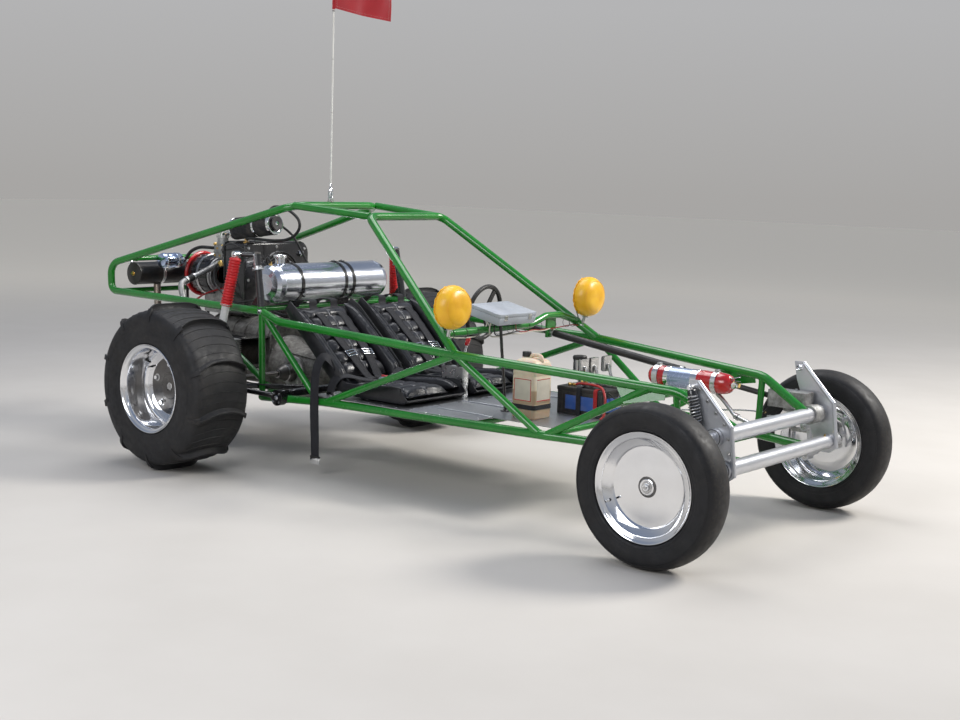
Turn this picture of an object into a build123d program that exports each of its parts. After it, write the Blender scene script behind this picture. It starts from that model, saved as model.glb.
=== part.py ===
from build123d import *
import os

os.makedirs("parts", exist_ok=True)

# ---------------------------------------------------------------------------
# Two-seat tube-frame dune buggy. Millimetres. +X forward, +Y left, +Z up,
# Z = 0 on the ground. Tables give X as the distance ahead of the rear axle;
# at() moves it so that X = 0 is the middle of the whole length.
# ---------------------------------------------------------------------------
middle_ahead_of_rear_axle = 892.6

wheelbase = 2551.0
front_tyre_r = 308.0
front_tyre_w = 144.0
front_wheel_y = 698.0          # centre plane of the front tyre
rear_tyre_r = 390.0
rear_tyre_w = 322.0
rear_wheel_y = 860.0
rim_lip_r = 207.5              # 15 inch rim, over its flange
bead_r = 190.0

frame_tube_r = 19.0
thin_tube_r = 14.0

rail_low = 352.0               # height of the lower rails in the cockpit
rail_high = 661.0              # height of the upper rails at the windscreen pillars
rail_half = 522.0              # half width between upper rails
roof_rear = (194.0, 300.0, 1244.0)
roof_front = (663.0, 255.0, 1209.0)
pillar_foot = (1445.0, 522.0, 661.0)
dash = (1346.0, 486.0, 738.0)

beam_r = 31.0
beam_upper = (2655.0, 470.0)   # x, z of the upper axle-beam tube
beam_lower = (2700.0, 352.0)
kingpin_x = wheelbase
kingpin_y = 585.0
kingpin_z = front_tyre_r
steer_arm = 85.0               # king pin to tie-rod ball, also the drop arm's length
tie_rod_z = {1: 398.0, -1: 414.0}   # left rod, right rod
drop_arm = (2546.0, 365.0)     # x, y of the steering box's output shaft

engine_z = 470.0               # crankshaft height
alternator_z = 830.0
column_low = (2450.0, 368.0, 523.0)
wheel_ring_r = 130.0           # steering wheel, to the middle of its rim
column_high = (950.0, 263.1, 754.8)


def at(x, y, z):
    return (x - middle_ahead_of_rear_axle, y, z)


def rod(a, b, r, mode=Mode.ADD):
    # straight round bar between two points
    a, b = Vector(*at(*a)), Vector(*at(*b))
    with BuildSketch(Plane(origin=a, z_dir=b - a)) as section:
        Circle(r)
    extrude(section.sketch, amount=(b - a).length, mode=mode)


def bent(points, r, bends):
    # round tube along straight runs joined by tangent arcs
    with BuildLine() as route:
        FilletPolyline(*[at(*p) for p in points], radius=bends)
    with BuildSketch(Plane(origin=route.line @ 0, z_dir=route.line % 0)) as section:
        Circle(r)
    sweep(section.sketch, path=route.line)


def block(x0, x1, y0, y1, z0, z1, round_r=0.0):
    # upright box by its limits, its upright edges rounded
    with BuildSketch(Plane(origin=at((x0 + x1) / 2, (y0 + y1) / 2, z0))) as section:
        if round_r:
            RectangleRounded(x1 - x0, y1 - y0, round_r)
        else:
            Rectangle(x1 - x0, y1 - y0)
    extrude(section.sketch, amount=z1 - z0)


def turned(profile, origin, axis, mode=Mode.ADD):
    # solid of revolution: profile is (radius, distance along the axis) points
    base = Plane(origin=at(*origin), z_dir=axis)
    side = Plane(origin=base.origin, x_dir=base.x_dir, z_dir=base.x_dir.cross(base.z_dir))
    with BuildSketch(side) as section:
        with BuildLine():
            Polyline(*profile, close=True)
        make_face()
    revolve(section.sketch, axis=Axis(base.origin, base.z_dir), mode=mode)


def finish(builder, name):
    builder.part.label = name
    export_step(builder.part, f"parts/{name}.step")


# ------------------------------------------------------------------ axle beam
# two straight tubes with a bent plate tower at each end
tower_y = 428.0
tower_t = 8.0
with BuildPart() as front_beam:
    for x, z in (beam_upper, beam_lower):
        rod((x, -455, z), (x, 455, z), beam_r)
    for s in (1, -1):
        with BuildSketch(Plane.XZ.offset(-s * tower_y)) as plate:
            with BuildLine():
                Polyline(*[(x - middle_ahead_of_rear_axle, z) for x, z in
                           ((2712, 306), (2745, 330), (2722, 515), (2572, 676), (2530, 676),
                            (2545, 600), (2610, 430), (2655, 306))], close=True)
            make_face()
        extrude(plate.sketch, amount=tower_t / 2, both=True)
        # edge flange along the tower's front
        for a, b in (((2741, 330), (2719, 515)), ((2719, 515), (2571, 672))):
            rod((a[0], s * tower_y, a[1]), (b[0], s * tower_y, b[1]), 9.0)
finish(front_beam, "front_beam")

# ------------------------------------------------------------------ lower frame
with BuildPart() as lower_frame:
    for s in (1, -1):
        bent([(200, s * 490, 325), (620, s * 490, rail_low), (1880, s * 462, 372),
              (2690, s * 250, 353)], frame_tube_r, 150)
        bent([(200, s * 490, 325), (-10, s * 190, 303), (-150, s * 190, 318)], frame_tube_r, 90)
    for x, half, z in ((214, 486, 326), (800, 486, 355), (1480, 472, 361), (1880, 462, 372), (2425, 320, 359)):
        rod((x, -half, z), (x, half, z), thin_tube_r)
    rod((214, 0, 326), (1880, 0, 359), thin_tube_r)
    add(front_beam.part, mode=Mode.SUBTRACT)
finish(lower_frame, "lower_frame")

# ------------------------------------------------------------------ upper rails
with BuildPart() as upper_rails:
    for s in (1, -1):
        bent([(200, s * 498, 738), (330, s * 508, 700), (1445, s * rail_half, rail_high),
              (2430, s * 345, 606), (2655, s * 292, 488)], frame_tube_r, [150, 400, 150])
    add(front_beam.part, mode=Mode.SUBTRACT)
finish(upper_rails, "upper_rails")

# ------------------------------------------------------------------ rear cage
hair_x, hair_y = -1050.0, 455.0
with BuildPart() as rear_cage:
    half = [(200, 498, 738), (hair_x, hair_y, 745), (hair_x - 8, hair_y, 888), roof_rear]
    bent([(x, -y, z) for x, y, z in half] + list(reversed(half)), frame_tube_r,
         [44, 74, 95, 95, 74, 44])
    for x, half_w, z in ((-1000, 456, 745), (110, 493, 739), (-890, 434, 925)):
        rod((x, -half_w, z), (x, half_w, z), thin_tube_r)
    for s in (1, -1):
        # post that carries the rear shock: its arm, the stud through the shock's eye, and a web at its foot
        rod((198, s * 497, 740), (146, s * 486, 1014), frame_tube_r - 1)
        rod((152, s * 490, 1005), (75, s * 528, 1005), 12)
        rod((75, s * 520, 1005), (75, s * 571, 1005), 5)
        with BuildSketch(Plane.XZ.offset(-s * 494)) as web:
            with BuildLine():
                Polyline(*[(x - middle_ahead_of_rear_axle, z) for x, z in ((196, 742), (104, 742), (184, 838))],
                         close=True)
            make_face()
        extrude(web.sketch, amount=2.5, both=True)
    add(upper_rails.part, mode=Mode.SUBTRACT)
finish(rear_cage, "rear_cage")


# ------------------------------------------------------------------ side braces
with BuildPart() as side_braces:
    for s in (1, -1):
        # x, y, z of both ends
        for a, b in (((200, 498, 738), (200, 490, 325)),
                     ((222, 500, 720), (585, 490, 352)),
                     ((635, 490, 353), (1430, 520, 655)),
                     ((1450, 520, 655), (1860, 462, 372)),
                     ((-420, 476, 745), (200, 490, 410))):
            rod((a[0], s * a[1], a[2]), (b[0], s * b[1], b[2]), thin_tube_r + 2)
    add(lower_frame.part, mode=Mode.SUBTRACT)
    add(upper_rails.part, mode=Mode.SUBTRACT)
    add(rear_cage.part, mode=Mode.SUBTRACT)
finish(side_braces, "side_braces")

# ------------------------------------------------------------------ roof and pillars
with BuildPart() as roof_cage:
    bent([(x, -y, z) for x, y, z in (pillar_foot, roof_front)] + [roof_front, pillar_foot],
         frame_tube_r, [55, 55])
    for s in (1, -1):
        rod((190, s * 286, 1243), (655, s * 240, 1209), frame_tube_r - 1)
    bent([(dash[0], -dash[1], dash[2]), (dash[0], 120, 742), (dash[0], 235, 776),
          (dash[0], 345, 776), dash], frame_tube_r - 3, 60)
    # bracket for the steering column
    block(1330, 1342, 256, 322, 672, 772)
    rod(column_high, column_low, 12.3, mode=Mode.SUBTRACT)
    add(upper_rails.part, mode=Mode.SUBTRACT)
    add(rear_cage.part, mode=Mode.SUBTRACT)
finish(roof_cage, "roof_cage")

# ------------------------------------------------------------------ nose frame
with BuildPart() as nose_frame:
    for s in (1, -1):
        rod((2425, s * 345, 606), (2430, s * 318, 360), thin_tube_r)
        rod((1890, s * 460, 374), (2320, s * 366, 612), thin_tube_r + 2)
    rod((2172, -398, 530), (2172, 398, 530), thin_tube_r)
    for s in (1, -1):
        # gusset plate where the brace meets the upper rail
        with BuildSketch(Plane(origin=at(2290, s * 372, 596), x_dir=(0.94, -0.175 * s, -0.055),
                               z_dir=(0.175 * s, 0.94, 0.3 * s))) as web:
            with BuildLine():
                Polyline((-120, -6), (95, -4), (95, 22), (-70, 62), close=True)
            make_face()
        extrude(web.sketch, amount=2.5, both=True)
    add(lower_frame.part, mode=Mode.SUBTRACT)
    add(upper_rails.part, mode=Mode.SUBTRACT)
finish(nose_frame, "nose_frame")

# ------------------------------------------------------------------ floor
with BuildPart() as floor_pan:
    with BuildSketch(Plane.XY.offset(377)) as sheet:
        with BuildLine():
            Polyline(*[(x - middle_ahead_of_rear_axle, y) for x, y in
                       ((560, -500), (1500, -482), (1500, -330), (1864, -330), (1864, 330),
                        (1500, 330), (1500, 482), (560, 500))], close=True)
        make_face()
    extrude(sheet.sketch, amount=3)
    add(lower_frame.part, mode=Mode.SUBTRACT)
    add(side_braces.part, mode=Mode.SUBTRACT)
    add(nose_frame.part, mode=Mode.SUBTRACT)
finish(floor_pan, "floor_pan")

# ------------------------------------------------------------------ seats
seat_half = 214.0
seat_y = 240.0
seat_names = {1: "seat_left", -1: "seat_right"}
for s in (1, -1):
    with BuildPart() as seat:
        # outline from the side: back, base and front lip
        with BuildSketch(Plane.XZ.offset(-s * seat_y)) as outline:
            with BuildLine():
                Polyline(*[(x - middle_ahead_of_rear_axle, z) for x, z in
                           ((292, 738), (640, 428), (700, 384), (1088, 384), (1112, 402), (1112, 470),
                            (1060, 492), (815, 452), (765, 458), (362, 800), (318, 792))], close=True)
            make_face()
        extrude(outline.sketch, amount=seat_half, both=True)
        # hollow between the side bolsters
        with BuildSketch(Plane.XZ.offset(-s * seat_y)) as hollow:
            with BuildLine():
                Polyline(*[(x - middle_ahead_of_rear_axle, z) for x, z in
                           ((1130, 448), (1060, 446), (812, 418), (745, 426), (330, 775), (365, 830),
                            (830, 560), (1130, 560))], close=True)
            make_face()
        extrude(hollow.sketch, amount=seat_half - 56, both=True, mode=Mode.SUBTRACT)
    finish(seat, seat_names[s])

# ------------------------------------------------------------------ fuel tank
tank_r, tank_half, tank_at = 97.0, 400.0, (105.0, 0.0, 858.0)
with BuildPart() as fuel_tank:
    turned([(0, -tank_half), (50, -396), (78, -384), (92, -366), (tank_r, -340), (tank_r, 340),
            (92, 366), (78, 384), (50, 396), (0, tank_half)], tank_at, (0, 1, 0))
    rod((105, -300, 940), (105, -300, 985), 24)
    rod((105, -300, 985), (105, -300, 999), 31)
finish(fuel_tank, "fuel_tank")

with BuildPart() as tank_mounts:
    for y0, y1 in ((-250, -210), (58, 136)):
        block(60, 150, y0, y1, 740, 800)
    rod((105, -420, 858), (105, 420, 858), tank_r + 0.4, mode=Mode.SUBTRACT)
    # bands round the tank: middle, half width
    for y, w in ((-230, 9), (69, 8), (124, 8)):
        turned([(tank_r + 0.4, -w), (tank_r + 3.4, -w), (tank_r + 3.4, w), (tank_r + 0.4, w)],
               (105, y, 858), (0, 1, 0))
    add(rear_cage.part, mode=Mode.SUBTRACT)
finish(tank_mounts, "tank_mounts")

# ------------------------------------------------------------------ dash and cockpit pieces
with BuildPart() as instrument_box:
    tilt = Plane(origin=at(1335, -78, 780), x_dir=(0.978, 0, -0.208), z_dir=(0.208, 0, 0.978))
    with BuildSketch(tilt) as base:
        RectangleRounded(176, 266, 8)
    extrude(base.sketch, amount=50)
    rod((1400, -170, 775), (1436, -160, 381), 7)
    add(roof_cage.part, mode=Mode.SUBTRACT)
finish(instrument_box, "instrument_box")

with BuildPart() as shift_levers:
    block(930, 1070, -20, 20, 380, 520, 8)
    rod((960, 0, 515), (915, 0, 690), 7)
    rod((915, 0, 690), (907, 0, 722), 20)
    rod((1030, 0, 515), (1075, 0, 650), 6)
finish(shift_levers, "shift_levers")

with BuildPart() as pedals:
    block(1600, 1770, 180, 430, 380, 392)
    for y in (212, 290, 395):
        rod((1660, y, 392), (1600, y, 560), 7)
        block(1585, 1597, y - 30, y + 30, 530, 600)
        rod((1590, y, 560), (1606, y, 560), 6)
    # master cylinder and its reservoir
    rod((1640, 220, 430), (1760, 220, 430), 18)
    block(1690, 1740, 205, 235, 391, 432)
    rod((1560, 222, 392), (1560, 222, 540), 7)
    block(1550, 1620, 215, 229, 380, 392)
    rod((1560, 222, 540), (1560, 222, 600), 30)
finish(pedals, "pedals")

with BuildPart() as headlights:
    for s in (1, -1):
        turned([(0, -62), (40, -60), (76, -44), (92, -14), (96, 10), (96, 30), (88, 44), (0, 56)],
               (1398, s * 497, 857), (1, 0, 0))
        rod((1388, s * 497, 790), (1372, s * 492, 722), 9)
    add(roof_cage.part, mode=Mode.SUBTRACT)
finish(headlights, "headlights")

# ------------------------------------------------------------------ nose pieces
with BuildPart() as battery:
    block(1600, 1850, -5, 165, 380, 502, 6)
    for y in (35, 130):
        rod((1650, y, 502), (1650, y, 518), 9)
finish(battery, "battery")

with BuildPart() as fluid_can:
    block(1540, 1665, -255, -125, 380, 640, 12)
    rod((1570, -190, 640), (1570, -190, 665), 20)
finish(fluid_can, "fluid_can")

with BuildPart() as fire_extinguisher:
    turned([(0, -196), (20, -194), (36, -180), (43, -150), (43, 150), (36, 178), (16, 190), (0, 196)],
           (2325, -70, 618), (1, 0, 0))
    rod((2515, -70, 618), (2545, -70, 618), 11)
    # clamps and feet to the cross tube
    turned([(30, -14), (47, -14), (47, 14), (30, 14)], (2172, -70, 618), (1, 0, 0))
    rod((2172, -70, 574), (2172, -70, 535), 9)
    rod((2505, -70, 612), (2560, -120, 505), 9)
    rod((2560, -120, 505), (2640, -150, 490), 9)
    add(nose_frame.part, mode=Mode.SUBTRACT)
    add(front_beam.part, mode=Mode.SUBTRACT)
finish(fire_extinguisher, "fire_extinguisher")

# ------------------------------------------------------------------ steering
dx, dy = drop_arm
with BuildPart() as steering_box:
    block(2462, 2640, dy - 42, dy + 42, 486, 556, 12)
    rod((2456, 368.3, 522), (2480, 369.8, 518.5), 22)
    turned([(beam_r + 0.4, -38), (beam_r + 9, -38), (beam_r + 9, 38), (beam_r + 0.4, 38)],
           (beam_upper[0], dy, beam_upper[1]), (0, 1, 0))
    rod((dx, dy, 470), (dx, dy, 490), 24)
    add(front_beam.part, mode=Mode.SUBTRACT)
    add(upper_rails.part, mode=Mode.SUBTRACT)
    rod((dx, dy, 400), (dx, dy, 520), 9.1, mode=Mode.SUBTRACT)
finish(steering_box, "steering_box")

with BuildPart() as pitman_arm:
    rod((dx, dy, 424), (dx, dy, 518), 9)
    rod((dx, dy, 424), (dx, dy, 438), 18)
    rod((dx - steer_arm, dy, 424), (dx - steer_arm, dy, 438), 14)
    block(dx - steer_arm, dx, dy - 10, dy + 10, 424, 438)
    rod((dx - steer_arm, dy, 388), (dx - steer_arm, dy, 430), 6)
finish(pitman_arm, "pitman_arm")

tie_names = {1: "tie_rod_left", -1: "tie_rod_right"}
for s in (1, -1):
    z = tie_rod_z[s]
    inner = (dx - steer_arm, dy, z)
    outer = (kingpin_x - steer_arm, s * kingpin_y, z)
    with BuildPart() as tie_rod:
        rod(inner, outer, 8)
        for x, y, _ in (inner, outer):
            rod((x, y, z - 6), (x, y, z + 6), 15)
        rod((inner[0], inner[1], z - 20), (inner[0], inner[1], z + 20), 6.1, mode=Mode.SUBTRACT)
        rod((outer[0], outer[1], z - 20), (outer[0], outer[1], z + 20), 6.5, mode=Mode.SUBTRACT)
    finish(tie_rod, tie_names[s])

with BuildPart() as steering_wheel:
    c, e = Vector(*column_high), Vector(*column_low)
    d = (e - c).normalized()
    ring = Plane(origin=at(*column_high), z_dir=d)
    side = Plane(origin=ring.origin, x_dir=ring.x_dir, z_dir=ring.x_dir.cross(ring.z_dir))
    with BuildSketch(side) as section:
        with Locations((wheel_ring_r, 0)):
            Circle(11)
    revolve(section.sketch, axis=Axis(ring.origin, ring.z_dir))
    with BuildSketch(ring.offset(-4)) as spokes:
        with PolarLocations(wheel_ring_r / 2, 3, start_angle=90):
            Rectangle(wheel_ring_r, 26)
    extrude(spokes.sketch, amount=8)
    with BuildSketch(ring.offset(-10)) as hub:
        Circle(32)
    extrude(hub.sketch, amount=34)
    with BuildSketch(ring) as shaft:
        Circle(12)
    extrude(shaft.sketch, amount=(e - c).length - 2)
    with BuildSketch(ring.offset(402)) as sleeve:
        Circle(17)
    extrude(sleeve.sketch, amount=700)
finish(steering_wheel, "steering_wheel")

# ------------------------------------------------------------------ front suspension
arm_y = 497.0
link_upper, link_lower = (2562.0, 388.0), (2576.0, 262.0)
with BuildPart() as front_arms:
    for s in (1, -1):
        for (bx, bz), (lx, lz) in ((beam_upper, link_upper), (beam_lower, link_lower)):
            rod((bx, s * 455, bz), (bx, s * 514, bz), 22)
            rod((bx, s * arm_y, bz), (lx, s * arm_y, lz), 13)
            rod((lx, s * 478, lz), (lx, s * 522, lz), 17)
        # upright link between the arms, with the king-pin boss
        rod((link_upper[0], s * 535, link_upper[1] + 12), (link_lower[0], s * 535, link_lower[1] - 12), 13.5)
        rod((2566, s * 535, kingpin_z), (kingpin_x, s * kingpin_y, kingpin_z), 13)
        rod((kingpin_x, s * kingpin_y, kingpin_z - 36), (kingpin_x, s * kingpin_y, kingpin_z + 36), 18)
        rod((kingpin_x, s * kingpin_y, kingpin_z - 60), (kingpin_x, s * kingpin_y, kingpin_z + 60), 9)
    add(front_beam.part, mode=Mode.SUBTRACT)
finish(front_arms, "front_arms")

with BuildPart() as front_shocks:
    for s in (1, -1):
        y = 457
        rod((2556, s * y, 650), (2596, s * y, 480), 18)
        rod((2596, s * y, 480), (2632, s * y, 327), 11)
        rod((2556, s * 432, 650), (2556, s * 470, 650), 12)
        rod((2632, s * 446, 322), (2632, s * 492, 322), 10)
    add(front_arms.part, mode=Mode.SUBTRACT)
    add(front_beam.part, mode=Mode.SUBTRACT)
finish(front_shocks, "front_shocks")

knuckle_names = {1: "knuckle_left", -1: "knuckle_right"}
for s in (1, -1):
    with BuildPart() as knuckle:
        for z0, z1 in ((kingpin_z + 38, kingpin_z + 54), (kingpin_z - 54, kingpin_z - 38)):
            rod((kingpin_x, s * kingpin_y, z0), (kingpin_x, s * kingpin_y, z1), 19)
            block(kingpin_x - 18, kingpin_x + 18, min(s * kingpin_y, s * 620), max(s * kingpin_y, s * 620), z0, z1)
        block(kingpin_x - 18, kingpin_x + 18, min(s * 608, s * 620), max(s * 608, s * 620),
              kingpin_z - 54, kingpin_z + 54)
        rod((kingpin_x, s * 612, kingpin_z), (kingpin_x, s * 640, kingpin_z), 24)
        rod((kingpin_x, s * 612, kingpin_z), (kingpin_x, s * 728, kingpin_z), 15)
        # steering arm and its ball stud
        block(kingpin_x - steer_arm, kingpin_x, s * kingpin_y - 9, s * kingpin_y + 9, kingpin_z + 38, kingpin_z + 54)
        rod((kingpin_x - steer_arm, s * kingpin_y, kingpin_z + 38),
            (kingpin_x - steer_arm, s * kingpin_y, kingpin_z + 54), 13)
        rod((kingpin_x - steer_arm, s * kingpin_y, kingpin_z + 40),
            (kingpin_x - steer_arm, s * kingpin_y, tie_rod_z[s] + 12), 6)
        rod((kingpin_x, s * kingpin_y, kingpin_z - 80), (kingpin_x, s * kingpin_y, kingpin_z + 80), 9.08,
            mode=Mode.SUBTRACT)
    finish(knuckle, knuckle_names[s])

# ------------------------------------------------------------------ wheels
# sections as (radius, distance outwards from the wheel's centre plane)
front_rim_section = [(0, 40), (0, 36), (15.08, 36), (15.08, -50), (36, -50), (36, 6), (148, 6), (178, 30),
                     (184.5, 30), (184.5, -50), (201, -55), (201, -59.5), (rim_lip_r, -59.5),
                     (rim_lip_r, -53), (bead_r, -48), (bead_r, 48), (rim_lip_r, 53), (rim_lip_r, 59.5),
                     (200, 59.5), (184.5, 50), (184.5, 42), (150, 14), (28, 14), (28, 36), (22, 40)]
front_tyre_half = [(bead_r + 0.3, 47), (208.3, 52.4), (212, 60), (230, 69), (262, front_tyre_w / 2),
                   (285, 68), (300, 50), (306, 26), (front_tyre_r, 8)]
rear_rim_section = [(20.2, 30), (20.2, -70), (58, -70), (58, 0), (150, 0), (172, -18), (184.5, -18),
                    (184.5, -128), (201, -134), (201, -140), (rim_lip_r, -140), (rim_lip_r, -133),
                    (bead_r, -128), (bead_r, 144), (rim_lip_r, 149), (rim_lip_r, 156), (200, 156),
                    (184.5, 146), (184.5, -10), (174, -10), (152, 8), (62, 8), (62, 30)]
rear_tyre_outer = [(bead_r + 0.3, 143.5), (208.3, 148.6), (212, 155), (250, 160), (300, 160), (350, 151),
                   (378, 133), (388, 103), (rear_tyre_r, 83)]
rear_tyre_inner = [(bead_r + 0.3, -127.5), (208.3, -132.6), (212, -147), (250, -162), (300, -162), (350, -153),
                   (378, -135), (388, -105), (rear_tyre_r, -85)]
wheel_table = [  # corner, side, x, y, radius to axle height
    ("front_left", 1, wheelbase, front_wheel_y, front_tyre_r),
    ("front_right", -1, wheelbase, -front_wheel_y, front_tyre_r),
    ("rear_left", 1, 0.0, rear_wheel_y, rear_tyre_r),
    ("rear_right", -1, 0.0, -rear_wheel_y, rear_tyre_r)]
for corner, s, x, y, z in wheel_table:
    front = corner.startswith("front")
    with BuildPart() as rim:
        turned(front_rim_section if front else rear_rim_section, (x, y, z), (0, s, 0))
    finish(rim, "rim_" + corner)
    if front:
        section = [(r, -t) for r, t in front_tyre_half] + list(reversed(front_tyre_half))
    else:
        section = rear_tyre_inner + list(reversed(rear_tyre_outer))
    with BuildPart() as tyre:
        turned(section, (x, y, z), (0, s, 0))
    finish(tyre, "tyre_" + corner)

# ------------------------------------------------------------------ rear suspension and drive
hub_z = rear_tyre_r
with BuildPart() as rear_arms:
    rod((360, -476, 345), (360, 476, 345), 33)
    for s in (1, -1):
        rod((360, s * 506, 345), (360, s * 540, 345), 38)
        rod((345, s * 526, 350), (55, s * 676, 388), 13)
        rod((340, s * 190, 350), (55, s * 672, 388), 14)
        rod((0, s * 652, hub_z), (0, s * 694, hub_z), 60)
        rod((12, s * 640, 462), (12, s * 690, 440), 10)
        rod((0, s * 560, hub_z), (0, s * 720, hub_z), 20.1, mode=Mode.SUBTRACT)
    add(lower_frame.part, mode=Mode.SUBTRACT)
finish(rear_arms, "rear_arms")

with BuildPart() as rear_shocks:
    for s in (1, -1):
        top, low = Vector(75, s * 552, 1005), Vector(12, s * 634, 462)
        d = (low - top).normalized()
        rod(tuple(top + d * 22), tuple(top + d * 250), 29)
        rod(tuple(top + d * 250), tuple(top + d * 430), 20)
        rod(tuple(top + d * 430), tuple(low - d * 8), 10)
        rod(tuple(top + d * 2), tuple(top + d * 30), 12)
        rod((75, s * 536, 1005), (75, s * 570, 1005), 17)
        rod((12, s * 616, 462), (12, s * 650, 462), 16)
    add(rear_cage.part, mode=Mode.SUBTRACT)
    add(rear_arms.part, mode=Mode.SUBTRACT)
finish(rear_shocks, "rear_shocks")

with BuildPart() as transaxle:
    turned([(0, -150), (158, -150), (158, -132), (122, -60), (96, 40), (82, 190), (60, 250), (34, 290), (0, 290)],
           (0, 0, 400), (1, 0, 0))
    rod((0, -128, hub_z), (0, 128, hub_z), 46)
    add(lower_frame.part, mode=Mode.SUBTRACT)
finish(transaxle, "transaxle")

shaft_names = {1: "half_shaft_left", -1: "half_shaft_right"}
for s in (1, -1):
    with BuildPart() as half_shaft:
        turned([(0, 133), (44, 133), (44, 168), (26, 210), (14, 214), (14, 566), (26, 570), (44, 600), (44, 640),
                (20, 640), (20, 724), (112, 726), (118, 730), (118, 780), (60, 784), (60, 789), (20, 789),
                (20, 888), (0, 888)], (0, 0, hub_z), (0, s, 0))
    finish(half_shaft, shaft_names[s])

# ------------------------------------------------------------------ engine
with BuildPart() as engine_block:
    block(-660, -151, -125, 125, 300, 640, 20)
    for x in (-260, -450):
        rod((x, -330, engine_z), (x, 330, engine_z), 66)
    for s in (1, -1):
        y0, y1 = sorted((s * 290, s * 390))
        block(-560, -180, y0, y1, 395, 560, 12)
    rod((-690, 0, engine_z), (-655, 0, engine_z), 86)
    add(lower_frame.part, mode=Mode.SUBTRACT)
finish(engine_block, "engine_block")

with BuildPart() as fan_shroud:
    with BuildSketch(Plane.YZ.offset(-555 - middle_ahead_of_rear_axle)) as shell:
        with BuildLine():
            Polyline((-100, 641), (-100, 1006), (-80, 1026), (300, 1026), (336, 1004), (350, 968),
                     (350, 562), (130, 641), close=True)
        make_face()
    extrude(shell.sketch, amount=170)
    # blower drum with its guard ring and end bell, and the alternator inside it, on the shroud's rear face
    rod((-825, -20, alternator_z + 7), (-672, -20, alternator_z + 7), 108)
    rod((-837, -20, alternator_z + 7), (-815, -20, alternator_z + 7), 123)
    rod((-673, -20, alternator_z + 7), (-656, -20, alternator_z + 7), 92)
    rod((-820, -20, alternator_z), (-554, -20, alternator_z), 66)
    rod((-895, -20, alternator_z), (-819, -20, alternator_z), 12)
    rod((-893, -20, alternator_z), (-866, -20, alternator_z), 70)
    block(-780, -600, -60, 20, 640, 780)
    add(engine_block.part, mode=Mode.SUBTRACT)
finish(fan_shroud, "fan_shroud")

with BuildPart() as carburettor:
    block(-668, -592, -82, -6, 930, 1004, 10)
    rod((-630, -44, 1003), (-630, -44, 1046), 30)
    rod((-630, -44, 902), (-630, -44, 932), 22)
    for s in (1, -1):
        rod((-630, -44, 916), (-630, s * 330, 800), 16)
        rod((-630, s * 330, 812), (-500, s * 345, 556), 16)
    add(fan_shroud.part, mode=Mode.SUBTRACT)
    add(engine_block.part, mode=Mode.SUBTRACT)
finish(carburettor, "carburettor")

with BuildPart() as air_filter:
    rod((-560, -20, 1092), (-262, 0, 1134), 60)
    rod((-262, 0, 1134), (-246, 1, 1136), 38)
    rod((-630, -44, 1040), (-630, -44, 1082), 36)
    rod((-630, -44, 1082), (-550, -20, 1094), 34)
    add(carburettor.part, mode=Mode.SUBTRACT)
    add(rear_cage.part, mode=Mode.SUBTRACT)
finish(air_filter, "air_filter")

with BuildPart() as exhaust:
    rod((-968, -370, 838), (-968, 370, 838), 60)
    for s in (1, -1):
        bent([(-230, s * 335, 400), (-260, s * 360, 345), (-520, s * 372, 335), (-800, s * 300, 360),
              (-930, s * 240, 560), (-962, s * 225, 800)], 19, [25, 60, 90, 120])
        rod((-500, s * 345, 402), (-510, s * 366, 350), 19)
    add(rear_cage.part, mode=Mode.SUBTRACT)
    add(engine_block.part, mode=Mode.SUBTRACT)
finish(exhaust, "exhaust")

# ------------------------------------------------------------------ whip and flag
whip = (193.0, -48.0)
whip_top = 2520.0
with BuildPart() as whip_pole:
    rod((whip[0], whip[1], 1262), (whip[0], whip[1], 1310), 11)
    rod((whip[0], whip[1], 1300), (whip[0], whip[1], whip_top), 4.5)
    add(rear_cage.part, mode=Mode.SUBTRACT)
finish(whip_pole, "whip_pole")

with BuildPart() as flag:
    with BuildSketch(Plane.XZ.offset(-whip[1])) as cloth:
        with BuildLine():
            x = whip[0] - middle_ahead_of_rear_axle
            Polyline((x + 6, 2200), (x + 380, 2120), (x + 400, 2380), (x + 6, 2500), close=True)
        make_face()
    extrude(cloth.sketch, amount=22, both=True)
finish(flag, "flag")
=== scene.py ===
import bpy
import bmesh
import math
import numpy as np
from mathutils import Vector, Matrix


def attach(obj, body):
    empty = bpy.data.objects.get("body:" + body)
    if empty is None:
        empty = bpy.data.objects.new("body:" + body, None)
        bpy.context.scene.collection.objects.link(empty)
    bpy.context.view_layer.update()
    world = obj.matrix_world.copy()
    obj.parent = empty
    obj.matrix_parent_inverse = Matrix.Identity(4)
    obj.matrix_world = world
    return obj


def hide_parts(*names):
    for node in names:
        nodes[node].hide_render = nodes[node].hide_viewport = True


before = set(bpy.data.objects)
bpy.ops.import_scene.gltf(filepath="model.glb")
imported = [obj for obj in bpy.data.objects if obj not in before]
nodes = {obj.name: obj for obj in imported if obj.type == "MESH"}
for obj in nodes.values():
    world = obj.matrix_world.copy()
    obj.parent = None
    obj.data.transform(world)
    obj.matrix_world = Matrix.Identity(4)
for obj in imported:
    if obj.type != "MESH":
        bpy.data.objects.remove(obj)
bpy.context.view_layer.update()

# Places are written as in the drawing: millimetres, X ahead of the rear axle, Y left, Z up.
AHEAD = 892.6


def row(p):
    return Vector(((p[0] - AHEAD) / 1000, p[1] / 1000, p[2] / 1000))


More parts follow.
